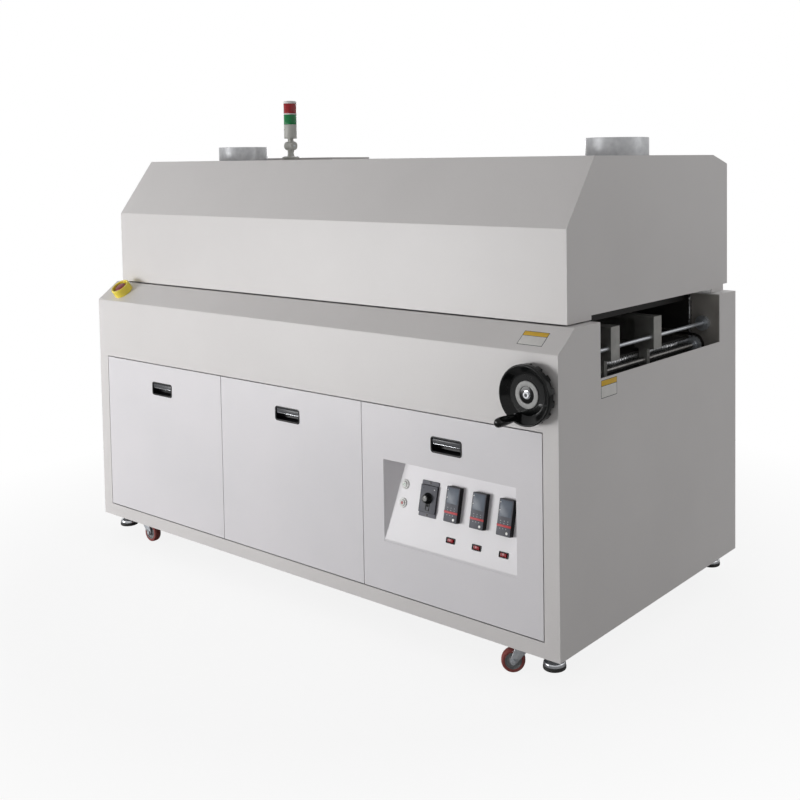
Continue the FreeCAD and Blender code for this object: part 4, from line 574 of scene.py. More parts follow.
class OVEN_OT_hood_fittings(bpy.types.Operator):
    """Builds the two exhaust collars on the hood"""
    bl_idname = "oven.hood_fittings"
    bl_label = "Hood Fittings"

    def execute(self, context):
        low, high = box_mm("exhaust_collars")
        radius = (high[1] - low[1]) / 2
        y = middle_mm("exhaust_collars")[1]
        tall = high[2] - low[2]
        wall = [(radius - 2, 0), (radius, 0), (radius, tall - 1.2), (radius - 1, tall), (radius - 2, tall - 1.2)]
        shells = [(turned(wall, level_frame(side * (high[0] - radius), y, low[2]), 0.8, 96, closed=True), 0)
                  for side in (-1, 1)]
        piece("exhaust_collar_pair", shells, ["galvanised_duct"], "hood", ["exhaust_collars"])
        return {"FINISHED"}


class OVEN_OT_vent_filters(bpy.types.Operator):
    """Builds the two filter pads held in shallow trays behind the rear louvres"""
    bl_idname = "oven.vent_filters"
    bl_label = "Vent Filters"

    def execute(self, context):
        low, high = box_mm("rear_panel")
        sheet, middle, width, height = 2.0, low[2] + 265.0, 248.0, 238.0
        rim = [(0, 0.01), (0, 15.4), (0.6, 16.2), (9, 16.2), (9.6, 15.6), (2.0, 15.6), (2.0, 0.01)]
        shells = []
        for x in (-LOUVRE_BANK, LOUVRE_BANK):
            place = facing(x, high[1] - sheet, middle)
            shells.append((box_slab(width - 6, height - 6, 8.6, 15.5, place, 3.0, 1.5), 0))
            shells.append((stack(inset(width, height, 4.0, 0.4), rim, place, ring=True), 1))
        piece("vent_filter_pair", shells, ["filter_foam", "galvanised_duct"], "cabinet")
        return {"FINISHED"}


class OVEN_OT_door_pulls(bpy.types.Operator):
    """Builds the three recessed pulls and their squeeze flaps"""
    bl_idname = "oven.door_pulls"
    bl_label = "Door Pulls"

    def execute(self, context):
        for side in ("left", "middle", "right"):
            low, high = box_mm(side + "_pull")
            width, height = high[0] - low[0], high[2] - low[2]
            place = front_frame((low[0] + high[0]) / 2, (low[2] + high[2]) / 2)
            cup = inset(width, height, 9.0, 1.5)
            levels = [(13, -24.5), (8, -24), (5.6, -20), (5.4, -4), (5.2, 0.4), (4.2, 1.2), (3.2, 1.5), (1.2, 1.5),
                      (0.4, 1.1), (0, 0.4), (0, 0.01), (4.05, 0.01), (4.05, -26)]
            piece(side + "_pull_cup", [(stack(cup, levels, place), 0)], ["black_nylon"], side + "_leaf",
                  [side + "_pull"])
            low, high = box_mm(side + "_flap")
            top, half = high[2] - 2.2, (high[0] - low[0]) / 2 - 0.8
            outline = soften([(-1.9, 0.0), (-1.2, -13.0), (1.25, -13.0), (2.2, -9.5), (2.2, -0.5),
                              (1.2, 2.2), (-1.2, 2.2)], [0.6, 0.8, 0.8, 1.5, 1.0, 0.8, 0.8])
            # Across the front: right is outwards, up stays up, and the flap's length runs along x.
            across = (np.array([place[0][0], (low[1] + high[1]) / 2, top]), OUT, UP, ACROSS)
            blade = slab(outline, -half, half, 0.5, across)
            # A thin chrome strip along the flap's lower edge: a painted highlight standing in for the glint on the
            # flap's glossy edge.
            glint_strip = slab(soften(circle(0.9, 16) + [1.2, -12.2], 0.1), -half + 1.5, half - 1.5, 0.3, across)
            pin = slab(circle(1.4, 20), -half - 0.8, half + 0.8, 0.2, across)
            piece(side + "_flap_blade", [(blade, 0), (glint_strip, 1), (pin, 0)], ["flap_nylon", "chrome"],
                  side + "_squeeze", [side + "_flap"])
        return {"FINISHED"}


class OVEN_OT_instruments(bpy.types.Operator):
    """Builds the controllers, speed unit, knob, rockers and buttons of the control plate"""
    bl_idname = "oven.instruments"
    bl_label = "Control Plate"

    def execute(self, context):
        sizes = context.scene.oven_controls
        self.controllers(sizes.case_corner / MM)
        self.speed_unit()
        self.knob(sizes.knob_radius / MM)
        self.rockers()
        self.buttons(sizes.button_radius / MM)
        return {"FINISHED"}

    def controllers(self, corner):
        """Bezel, fascia, window, stripe, keys and marks of each 48 by 96 mm controller."""
        case = inset(48, 96, corner, 0.6, 0.6)
        levels = [(2.5, -80), (2.5, 0), (0.0, 0.05), (0, 13.6), (0.3, 14.5), (0.9, 14.9)]
        marks = ((-18.5, 38.4, 1.6), (-18.5, 17.3, 1.6), (12.0, -39.5, 3.8))
        shells = []
        for x in ZONES:
            place = plate_frame(x, ZONE_RISE)
            shells.append((stack(case, levels, place), 0))
            shells.append((box_slab(46.4, 94.4, 14.8, 15.8, place, 1.8, 0.5), 1))
            shells.append((box_slab(39, 42, 15.7, 16.0, plate_frame(x + 0.5, 170.0), 1.2, 0.1), 2))
            shells.append((box_slab(47.2, 6.0, 14.9, 16.2, plate_frame(x, 125.5), 0.6, 0.3), 3))
            keys = [(x - 12 + 12 * column, 138.0 - 6.5 * row) for column in range(3) for row in range(2)]
            keys += [(x - 12 + 10 * column, 118.0) for column in range(3)]
            shells += [(stud(1.6, 15.7, 16.1, 16.3, plate_frame(*key), 0.2, 12), 5) for key in keys]
            shells += [(stud(r, 15.7, 16.2, 16.4, plate_frame(x + a, ZONE_RISE + b), 0.3, 20), 4) for a, b, r in marks]
        piece("zone_controller_set", shells,
              ["black_nylon", "instrument_abs", "display_window", "stripe_red", "white_acrylic", "key_grey"],
              "right_leaf", ["zone_controllers"])

    def speed_unit(self):
        """Strips, body, face and rear case of the speed unit, with its screws, shaft, rocker rim and scale."""
        x, rise = SPEED_X, SPEED_RISE
        place = plate_frame(x, rise)
        plate = box_slab(62, 99, 0.05, 3.0, place, 2.0, 0.6)
        body = box_slab(62, 76, 2.9, 6.2, place, 1.5, 0.3)
        face = box_slab(60.6, 74.6, 6.1, 7.0, place, 1.2, 0.4)
        back = box_slab(47, 71, -60.0, 0.1, place, 2.0, 0.5)
        shells = [(plate, 1), (body, 4), (face, 0), (back, 4)]
        screw = [(0, 2.9), (3.0, 2.9), (3.0, 3.6), (2.0, 4.2), (0, 4.3)]
        shells += [(turned(screw, plate_frame(x, rise + b), 0.4, 20), 2) for b in (-43.8, 43.8)]
        shells += [(stud(r, 6.9, 7.4, 7.7, plate_frame(x + a, rise + 28), 0.3, 16), colour)
                   for a, r, colour in ((20, 1.9, 3), (-20, 1.4, 4))]
        shells.append((stud(3, 6.9, 20, 20, plate_frame(x, KNOB_RISE), 0.3, 20), 2))
        rim = inset(15, 20.4, 1.8, 0.5, 0.5)
        levels = [(0, 6.95), (0, 7.9), (0.7, 8.5), (1.8, 8.5), (2.3, 8.0), (2.3, 6.95)]
        shells.append((stack(rim, levels, plate_frame(x + 1, 123.0), True), 4))
        for angle in np.radians(np.linspace(-50, 230, 11)):
            centre, right, up, out = plate_frame(x, KNOB_RISE)
            along = math.cos(angle) * right + math.sin(angle) * up
            side = -math.sin(angle) * right + math.cos(angle) * up
            shells.append((box_slab(2.4, 0.6, 6.95, 7.1, (centre + 20.5 * along, along, side, out), 0.2, 0.04), 1))
        piece("speed_unit_case", shells,
              ["instrument_abs", "strip_abs", "oiled_chain_steel", "white_acrylic", "black_nylon"],
              "right_leaf", ["speed_controller"])

    def knob(self, radius):
        """Skirted knob whose grip is cut by 22 flutes of depth 0.5 cos(22 a)^2."""
        flutes = lambda a, r, h: np.where((h > 9.5) & (h < 21), -0.5 * np.clip(np.cos(22 * a), 0, 1) ** 2, 0.0)
        profile = [(3.05, 7.3), (radius + 2, 7.3), (radius + 2, 9.0), (radius, 10.0), (radius - 2.6, 20.5),
                   (radius - 4.5, 23), (radius - 6.5, 22.4), (0, 22.4), (0, 20.3), (3.05, 20.3)]
        place = plate_frame(SPEED_X, KNOB_RISE)
        knob = turned(profile, place, [0.2, 0.6, 0.6, 1.0, 0.8, 0.8, 0.6, 0, 0, 0.1], 132, True, flutes)
        mark = box_slab(1.1, 8.0, 22.2, 22.7, moved(place, 3.5), 0.3, 0.1)
        piece("speed_knob_cap", [(knob, 0), (mark, 1)], ["black_phenolic", "white_acrylic"], "knob",
              ["speed_knob"])

    def rockers(self):
        """The zone rockers in their frames, and the small one of the speed unit."""
        levels = [(2.8, -12), (2.8, 0.6), (2.2, 1.6), (1.6, 2.0), (0.7, 2.0), (0.15, 1.6), (0, 1.0), (0, 0.05),
                  (1.35, 0.05), (1.35, -22)]
        frames = []
        for number, x in enumerate(ZONES, 1):
            place = plate_frame(x, ROCKER_RISE)
            frames.append((stack(inset(32, 16, 2.2, 0.5, 0.5), levels, place), 0))
            centre, right, up, out = place
            sideways = (centre - 2.0 * out, right, -out, up)
            block = slab(rocker_outline(11.0), -4.7, 4.7, 0.6, sideways)
            axle = slab(circle(1.45, 16), -6.2, 6.2, 0.1, sideways)
            piece("zone_%d_rocker_cap" % number, [(block, 0), (axle, 1)], ["red_acrylic", "black_nylon"],
                  "zone_switch_%d" % number, ["zone_%d_rocker" % number])
        piece("rocker_frame_set", frames, ["black_nylon"], "right_leaf", ["rocker_frames"])
        centre, right, up, out = plate_frame(-90.0, 123.0)
        upright = (centre + 5.0 * out, up, -out, -right)
        lever = slab(rocker_outline(7.2), -4.1, 4.1, 0.5, upright)
        axle = slab(circle(0.95, 14), -5.1, 5.1, 0.1, upright)
        piece("speed_rocker_cap", [(lever, 0), (axle, 0)], ["black_nylon"], "speed_switch",
              ["speed_rocker"])

    def buttons(self, radius):
        """The two push buttons and the white rings round them."""
        bore = 9.05
        ring = [(bore, 0.05), (14, 0.05), (14, 1.6), (12.4, 3.5), (10.2, 3.5), (bore, 2.6)]
        rings = []
        for name, rise, tint in BUTTONS:
            place = plate_frame(BUTTON_X, rise)
            rings.append((turned(ring, place, 0.7, 56, True), 0))
            cap = turned([(0, -8), (radius, -8), (radius, 4.2), (radius - 1.4, 5.6), (radius - 2.4, 5.6), (0, 5.6)],
                         place, 0.8, 48)
            if name == "start":
                lens = turned([(2.6, 5.5), (3.6, 5.5), (3.6, 5.9), (2.6, 5.9)], place, 0.1, 32, True)
            else:
                lens = stud(4.8, 5.5, 5.9, 6.0, place, 0.2, 32)
            bar = box_slab(0.9, 3.6, 5.5, 5.95, moved(place, 2.4), 0.3, 0.1)
            piece(name + "_button_cap", [(cap, 0), (lens, 1), (bar, 1)], ["frosted_acrylic", tint], name,
                  [name + "_button"])
        piece("button_ring_pair", rings, ["white_acrylic"], "right_leaf", ["button_bezels"])


def rocker_outline(half):
    """Side of a rocker about its axle: two raised tips, a hollow between them, tilted by 7 degrees."""
    tilt = math.radians(7.0)
    flat = np.array([(-0.86, 0.27), (0.86, 0.27), (1.0, -0.14), (0.97, -0.41), (0.5, -0.29), (0.0, -0.25),
                     (-0.5, -0.29), (-0.97, -0.41), (-1.0, -0.14)]) * half
    turn = np.array([[math.cos(tilt), -math.sin(tilt)], [math.sin(tilt), math.cos(tilt)]])
    return anticlockwise(soften(flat @ turn, 0.9))


class OVEN_OT_emergency_stop(bpy.types.Operator):
    """Builds the yellow guard and the red mushroom head on the shoulder"""
    bl_idname = "oven.emergency_stop"
    bl_label = "Emergency Stop"

    def execute(self, context):
        place = slope_frame(middle_mm("estop_guard")[0], SLOPE / 2)
        guard = [(8.05, -12), (11, -12), (11, 0.05), (34, 0.05), (34, 27), (32.6, 30), (28.6, 30), (27, 28),
                 (25.4, 8), (24, 5), (8.05, 5)]
        shell = turned(guard, place, [0, 0.5, 0.1, 1.5, 1.5, 1.2, 1.2, 1.5, 2, 2, 0.3], 96, True)
        nut = turned([(8.2, 5.0), (17, 5.0), (17, 6.2), (16, 7.0), (8.2, 7.0)], place, 0.5, 60, True)
        piece("estop_guard_ring", [(shell, 0), (nut, 1)], ["guard_yellow", "black_nylon"], "cabinet",
              ["estop_guard"])
        head = [(0, -24), (7.95, -24), (7.95, 13.5), (19.5, 14.5), (21, 16.5), (21, 22.5), (19, 26.4), (13, 28.6),
                (0, 29)]
        mushroom = turned(head, place, [0, 0.5, 0.6, 1.2, 1.2, 2.5, 3.0, 4.0, 0], 80)
        piece("estop_mushroom", [(mushroom, 0)], ["mushroom_red"], "emergency_head", ["estop_button"])
        return {"FINISHED"}


class OVEN_OT_handwheel(bpy.types.Operator):
    """Builds the dished handwheel, its hub ring and screw, and the crank grip"""
    bl_idname = "oven.handwheel"
    bl_label = "Handwheel"

    def execute(self, context):
        sizes = context.scene.oven_handwheel
        low, high = box_mm("handwheel")
        x, _, z = middle_mm("handwheel")
        radius = (high[0] - low[0]) / 2
        place = front_frame(x, z)
        depth, lobes = sizes.lobe_depth / MM, sizes.lobes
        rim = [(8, 8), (62, 8), (radius - 1.5, 8), (radius, 9.5), (radius, 20), (radius, 22), (radius, 33),
               (radius - 1.5, 36), (radius - 5, 36), (radius - 8, 33.5), (58, 21.5), (54, 20), (8, 20)]
        notch = lambda a, r, h: -depth * np.clip(0.5 + 2.6 * np.cos(lobes * a), 0, 1) * ((h < 20.5) & (r > 70))
        dish = turned(rim, place, [0, 1, 1, 1, 0.2, 0.2, 2, 2, 2, 3, 2, 1, 0], 336, True, notch)
        band = [(22.5, 20.02), (36, 20.02), (36, 22), (35, 22.6), (23.5, 22.6), (22.5, 22)]
        ring = turned(band, place, 0.3, 96, True)
        centre = stud(22.3, 20.02, 20.8, 21.2, place, 0.4, 64)
        rows = [(circle(11.0), 20.9), (circle(11.0), 21.6), (circle(9.6), 21.8), (circle(9.6), 25.4),
                (circle(8.8), 26.0), (hexagon(8.6), 26.0), (hexagon(8.2), 23.6)]
        screw = skin(put(np.array([raised(outline, height) for outline, height in rows]), place))
        # A black disc at the bottom of the hex socket: painted shade in the recess.
        socket = slab(circle(3.9, 32), 23.65, 23.9, 0.1, place)
        reach, angle = 64.0, math.radians(246.0)
        crank = front_frame(x + reach * math.cos(angle), z + reach * math.sin(angle))
        pin = stud(5, 14, 111.5, 112, crank, 0.5, 32)
        boss = turned([(5, 22), (10.5, 22), (10, 36.1), (5, 36.1)], crank, 0.8, 40, True)
        # A matt black patch on the dish: painted shade standing for the dark of a hole.
        wheel_hole_shade = slab(circle(1.0, 32) * [7.0, 4.0], 20.0, 20.5, 0.1, front_frame(x + 43, z - 22))
        shells = [(dish, 0), (ring, 1), (centre, 0), (screw, 2), (pin, 3), (boss, 0), (wheel_hole_shade, 4), (socket, 4)]
        piece("handwheel_dish", shells, ["black_phenolic", "turned_aluminium", "chrome", "polished_rod", "film_black"],
              "width_wheel", ["handwheel"])
        grip = [(5.05, 36.3), (8.6, 36.3), (9.6, 42), (11.4, 62), (12.8, 84), (13, 100), (11.4, 111.5), (6.5, 115.6),
                (0, 116), (0, 112.3), (5.05, 112.3)]
        handle = turned(grip, crank, [0, 1, 3, 9, 9, 7, 4, 3, 0, 0, 0.1], 56, True)
        piece("crank_handle", [(handle, 0)], ["black_phenolic"], "grip", ["crank_grip"])
        return {"FINISHED"}


class OVEN_OT_signal_tower(bpy.types.Operator):
    """Builds the foot, knuckle, housing, lenses and cap of the signal tower"""
    bl_idname = "oven.signal_tower"
    bl_label = "Signal Tower"

    def execute(self, context):
        low, high = box_mm("tower_green_lens")
        x, y = middle_mm("tower_green_lens")[:2]
        roof = box_mm("tower_base")[0][2]
        place = level_frame(x, y, roof)
        slimmer = 3.5
        radius = (high[0] - low[0]) / 2 - slimmer
        foot = [(0, 0), (29, 0), (29, 8.5), (33, 9), (33, 12.5), (30, 14), (16, 15), (12.5, 18), (11.5, 36), (0, 36)]
        axis = roof + 56.0
        across = (np.array([x, y, axis]), BACK, UP, ACROSS)
        fixed = turned([(4.0, -21), (15.6, -21), (17, -19.5), (17, -0.2), (4.0, -0.2)], across, 0.8, 64, True)
        stem = slab(rectangle(22, 20, 6), 30.0, 42.0, 0.5, place)
        pin = turned([(0, -22.5), (7, -22.5), (7, -20.8), (3.9, -20.8), (3.9, 21.0), (0, 21.0)], across, 0.2, 24)
        flange = turned(foot, place, [0, 1, 0.5, 0.5, 1, 1, 2, 2, 0, 0], 72)
        bolts = np.radians([30, 150, 210, 270, 330])
        screws = [(stud(2.6, 12.0, 15.6, 16.6, level_frame(x + a, y + b, roof), 0.5, 18), 1)
                  for a, b in polar(25.0, bolts)]
        piece("tower_foot", [(flange, 0), (fixed, 0), (stem, 0), (pin, 1)] + screws, ["tower_abs", "zinc_plate"],
              "hood", ["tower_base"])
        base = low[2] - roof
        moving = turned([(4.05, 0.2), (17, 0.2), (17, 19.5), (15.6, 21), (4.05, 21)], across, 0.8, 64, True)
        neck = slab(rectangle(19, 19, 6), 69.0, base - 53, 0.5, place)
        housing = turned([(0, base - 54), (radius - 1.5, base - 54), (radius, base - 52.5), (radius, base - 1.2),
                          (radius - 0.8, base), (0, base)], place, 0.8, 72)
        ring_low = box_mm("tower_green_lens")[1][2] - roof
        ring = stud(radius, ring_low, ring_low + 4, ring_low + 4, place, 0.6, 72)
        cap_low = box_mm("tower_red_lens")[1][2] - roof
        cap = turned([(0, cap_low), (radius, cap_low), (radius, cap_low + 7), (radius - 4, cap_low + 10),
                      (0, cap_low + 10)], place, 1.4, 72)
        # A black dot on the housing: painted shade standing for the dark of its small hole.
        tower_hole_shade = stud(2.0, 0, 0.3, 0.3, facing(x - radius * 0.35, y - radius * 0.937, roof + base - 20), 0.1, 16)
        piece("tower_housing", [(moving, 0), (neck, 0), (housing, 0), (ring, 1), (cap, 1), (tower_hole_shade, 2)],
              ["tower_abs", "tower_ivory", "film_black"], "signal_tower", ["tower_body"])
        ribs = lambda a, r, h: np.where(r > radius - 2, 0.25 * np.cos(36 * a) - 0.25, 0.0)
        for node, tint, slot in (("tower_green_lens", "green_lens", "lens_green"),
                                 ("tower_red_lens", "red_lens", "lens_red")):
            low, high = box_mm(node)
            tall = high[2] - low[2]
            lens = turned([(0, 0.02), (radius, 0.02), (radius - 0.3, tall / 2), (radius, tall - 0.02),
                           (0, tall - 0.02)], level_frame(x, y, low[2]), 1.0, 216, False, ribs)
            piece(node + "_shell", [(lens, 0)], [tint], "signal_tower", [node])
        return {"FINISHED"}


class OVEN_OT_tunnel_drive(bpy.types.Operator):
    """Builds the threaded lead screws, the adjusting chain and the foil at the tunnel mouths"""
    bl_idname = "oven.tunnel_drive"
    bl_label = "Width Drive"

    def execute(self, context):
        for node, body in (("lead_screw_left", "left_screw"), ("lead_screw_right", "width_wheel")):
            self.screw(node, body, context.scene.oven_handwheel.thread_pitch / MM)
        self.chain(context.scene.oven_running_gear.chain_pitch / MM)
        self.foil()
        return {"FINISHED"}

    def screw(self, node, body, pitch):
        """Rod of radius R less a trapezoid groove that follows y / pitch - a / 2 pi and fades out at
        both ends of the thread, with plain ends and a sprocket at the rear."""
        low, high = box_mm(node)
        x, _, z = middle_mm(node)
        shaft, groove, start, end, sides, steps = 8.0, 1.3, -243.0, 405.0, 24, 8
        y = np.arange(start, end, pitch / steps)
        angle = turns(sides)
        phase = (y[:, None] / pitch - angle[None, :] / (2 * np.pi)) % 1.0
        fade = np.clip(np.minimum(y - start, end - y) / pitch, 0, 1)[:, None]
        radius = shaft - groove * np.clip(2.2 - 8.0 * np.abs(phase - 0.5), 0.0, 1.0) * fade
        rows = np.stack([x + radius * np.cos(angle), np.repeat(y[:, None], sides, axis=1),
                         z + radius * np.sin(angle)], axis=2)
        tail, nose = high[1] - end + 1.0, start - low[1]
        rear = stud(shaft, 0, tail, tail, facing(x, high[1], z), 0.3, 32)
        front = stud(shaft, 0, nose, nose, facing(x, start + 0.5, z), 0.3, 32)
        seat = facing(x, 422.0, z)
        wheel = slab(sprocket(30.0, 14, 3.4), 0.0, 5.0, 0.4, seat)
        hub = turned([(shaft, -0.5), (15, -0.5), (15, 12), (shaft, 12)], seat, 0.8, 40, True)
        piece(node + "_thread", [(skin(rows), 0), (rear, 1), (front, 1), (wheel, 2), (hub, 2)],
              ["oiled_screw_steel", "polished_rod", "zinc_plate"], body, [node])

    def foil(self):
        """Crumpled edging: a flat loop carried along an edge of the tunnel's mouth, its points pushed by
        2 sin(1.1 s + 3 a) + 1.5 sin(0.43 s - 2 a + 1) millimetres, s along the edge and a round the loop."""
        low, high = box_mm("tunnel_side_walls")
        floor = box_mm("lower_nozzle_plate")[1][2]
        corner = np.array([high[1] - 10.0, floor - 12.0])
        ends = np.array([[corner[0], 920.0], [low[1] + 26.0, corner[1]]])
        shells = []
        for side in (-1, 1):
            for end in ends:
                length = np.linalg.norm(end - corner)
                along = (end - corner) / length
                s = np.arange(0.0, length, 4.0)[:, None]
                a = turns(8)[None, :]
                push = 2.0 * np.sin(1.1 * s + 3 * a) + 1.5 * np.sin(0.43 * s - 2 * a + 1)
                wide, thick = (7.0 + push) * np.cos(a), (2.5 + 0.5 * push) * np.sin(a)
                y = corner[0] + along[0] * s + along[1] * wide
                z = corner[1] + along[1] * s - along[0] * wide
                rows = np.stack([side * (MOUTH + 4.5 + thick), y, z], axis=2)
                shells.append((skin(rows), 0))
        piece("mouth_foil", shells, ["crumpled_foil"], "cabinet")

    def chain(self, pitch):
        """Links set out along a stadium: straight runs between the sprockets and half circles round them."""
        low, high = box_mm("adjust_chain")
        _, mid_y, z = middle_mm("adjust_chain")
        radius = (high[2] - low[2]) / 2 - 4.0
        reach = high[0] - (high[2] - low[2]) / 2
        run, bend = 2 * reach, math.pi * radius
        count = int(round(2 * (run + bend) / pitch / 2)) * 2
        s = (np.arange(count) + 0.5) * 2 * (run + bend) / count
        half = s % (run + bend)
        turn = np.clip((half - run) / radius, 0, math.pi)
        x = np.where(half < run, -reach + half, reach + radius * np.sin(turn))
        height = np.where(half < run, radius, radius * np.cos(turn))
        flip = np.where(s < run + bend, 1.0, -1.0)
        px, pz = flip * x, flip * height
        tangent = np.arctan2(-flip * np.sin(turn), flip * np.cos(turn))
        length = 2 * (run + bend) / count
        side = np.array([(math.cos(a), math.sin(a)) for a in np.radians([-90, -45, 0, 45, 90])])
        eight = np.concatenate([side * 3.7 + [length / 2, 0], -side * 3.7 - [length / 2, 0]])
        points, quads, caps, total = [], [], [], 0
        for outer in (0, 1):
            pick = np.arange(outer, count, 2)
            for y0, y1 in ((1.5, 2.5), (-2.5, -1.5)) if outer else ((0.6, 1.5), (-1.5, -0.6)):
                n = len(eight)
                block = np.vstack([raised(eight, y)[:, [0, 2, 1]] for y in (y0, y1)])
                j = np.arange(n)
                start = (total + np.arange(len(pick)) * 2 * n)[:, None, None]
                quads.append((np.stack([j, (j + 1) % n, (j + 1) % n + n, j + n], axis=1) + start).reshape(-1, 4))
                caps.append((np.stack([j[::-1], j + n]) + start).reshape(-1, n))
                c, d = np.cos(tangent[pick]), np.sin(tangent[pick])
                placed = np.stack([px[pick, None] + block[:, 0] * c[:, None] - block[:, 2] * d[:, None],
                                   np.repeat(mid_y + block[None, :, 1], len(pick), axis=0),
                                   z + pz[pick, None] + block[:, 0] * d[:, None] + block[:, 2] * c[:, None]], axis=2)
                points.append(placed.reshape(-1, 3))
                total += len(pick) * 2 * n
        faces = np.concatenate(quads).tolist() + np.concatenate(caps).tolist()
        piece("adjusting_chain_links", [((np.concatenate(points), faces), 0)], ["oiled_chain_steel"], "cabinet",
              ["adjust_chain"])


CASTERS = ("front_left", "front_right", "rear_left", "rear_right")
CASTER_TRAIL, AXLE_HEIGHT = 25.0, 32.5


class OVEN_OT_casters(bpy.types.Operator):
    """Builds the forks and wheels of the four swivel casters"""
    bl_idname = "oven.casters"
    bl_label = "Casters"

    def execute(self, context):
        tread = context.scene.oven_running_gear.tread_radius / MM
        for name in CASTERS:
            axle = np.array(JOINTS[name + "_wheel_spin"]["axis"], dtype=float)
            trail = np.array([axle[1], -axle[0], 0.0])
            origin = joint_mm(name + "_swivel_turn") * [1, 1, 0]
            hub = (origin + CASTER_TRAIL * trail + AXLE_HEIGHT * UP, trail, UP, -axle)
            tyre = [(22.5, -11), (24, -12.3), (29, -12.4), (tread - 1, -10), (tread, -5), (tread, 5), (tread - 1, 10),
                    (29, 12.4), (24, 12.3), (22.5, 11)]
            core = [(4.05, -12.4), (9, -12.4), (10, -10.6), (12, -8), (19.5, -8), (21, -11.4), (22.6, -11.6),
                    (22.6, 11.6), (21, 11.4), (19.5, 8), (12, 8), (10, 10.6), (9, 12.4), (4.05, 12.4)]
            piece(name + "_wheel", [(turned(tyre, hub, 1.6, 72, True), 0), (turned(core, hub, 0.7, 60, True), 1)],
                  ["caster_tread", "wheel_nylon"], name + "_roller", [name + "_caster_wheel"])
            flat = (origin, trail, axle, UP)
            crown = box_slab(40, 33, 68.5, 71.6, flat, 8.0, 0.8)
            race = turned([(5, 71.5), (19, 71.5), (20, 73.5), (19, 75.5), (5, 75.5)], flat, 0.8, 48, True)
            king = stud(5, 66, 79.9, 79.9, flat, 0.3, 28)
            leg = anticlockwise(soften([(-20, 71.5), (-14, 61.5), (19, 25.5), (22, 24.5), (29, 24.5), (33, 30),
                                        (33.5, 36), (20, 71.5)], [2, 4, 4, 3, 4, 4, 4, 2]))
            legs = [slab(leg, low, low + 3.0, 0.6, (origin, trail, UP, -axle)) for low in (-16.5, 13.5)]
            pin = stud(4, -13.5, 13.5, 13.5, hub, 0.1, 28)
            nuts = [slab(hexagon(13.0, 60), low, low + 5.0, 0.5, hub) for low in (-21.5, 16.5)]
            shells = [(shell, 0) for shell in [crown, race, king] + legs + [pin] + nuts]
            piece(name + "_fork", shells, ["zinc_plate"], name + "_swivel", [name + "_caster_fork"])
        return {"FINISHED"}


class OVEN_OT_levelling_feet(bpy.types.Operator):
    """Builds the four raised levelling feet"""
    bl_idname = "oven.levelling_feet"
    bl_label = "Levelling Feet"

    def execute(self, context):
        low, high = box_mm("levelling_feet")
        radius = 31.0
        rubber = [(0, 0), (29, 0), (radius, 2), (radius, 9), (29, 10.5), (0, 10.5)]
        cup = [(0, 10), (29.6, 10), (30.4, 12), (29, 20), (22, 25), (11, 29.5), (9, 32), (0, 32)]
        thread = lambda a, r, h: np.where((h > 33) & (r > 7), -0.6 * ((h / 2.0 - a / (2 * np.pi)) % 1.0), 0.0)
        spindle = np.vstack([[0, 31], np.column_stack([np.full(64, 8.0), np.linspace(31, 50, 64)]), [0, 50]])
        shells = []
        for x in (low[0] + radius, high[0] - radius):
            for y in (low[1] + radius, high[1] - radius):
                place = level_frame(x, y, low[2])
                shells.append((turned(rubber, place, 1.5, 64), 0))
                shells.append((turned(cup, place, 2.5, 64), 1))
                shells.append((turned(spindle, place, 0, 32, False, thread), 2))
                shells.append((slab(hexagon(24.0, 60), 40.0, 49.95, 0.8, place), 2))
        piece("levelling_foot_set", shells, ["black_rubber", "chrome", "zinc_plate"], "cabinet",
              ["levelling_feet"])
        return {"FINISHED"}


class OVEN_OT_blank_plates(bpy.types.Operator):
    """Builds the two bare two-tone film plates"""
    bl_idname = "oven.blank_plates"
    bl_label = "Blank Plates"

    def execute(self, context):
        end, sunk = box_mm("right_end_panel")[1][0], 0.25
        side = (np.array([end - sunk, FRONT + 241.0, 751.5]), BACK, UP, ACROSS)
        shells = []
        for place in (slope_frame(917.5, 47.0), side):
            shells.append((box_slab(80, 49, 0.0, 0.26, place, 1.5, 0.02), 0))
            shells.append((box_slab(77, 14, 0.2, 0.28, moved(place, 16.0), 0.8, 0.02), 1))
            shells.append((box_slab(77, 30.5, 0.2, 0.28, moved(place, -7.7), 0.8, 0.02), 2))
        piece("blank_plate_pair", shells, ["film_black", "film_yellow", "film_white"], "cabinet")
        return {"FINISHED"}


# Each lamp: name, place and target in metres, share of the key power.
LAMPS = (("key", (-2.7, -4.3, 0.4), (0.0, -0.3, 0.65), 1.0),
         ("rear_right", (4.6, 1.6, 2.2), (0.0, 0.0, 0.75), 0.11),
         ("rear_left", (-3.2, 4.4, 1.6), (0.0, 0.3, 0.75), 0.5))
LAMP_SIZE = (2.4, 1.6)


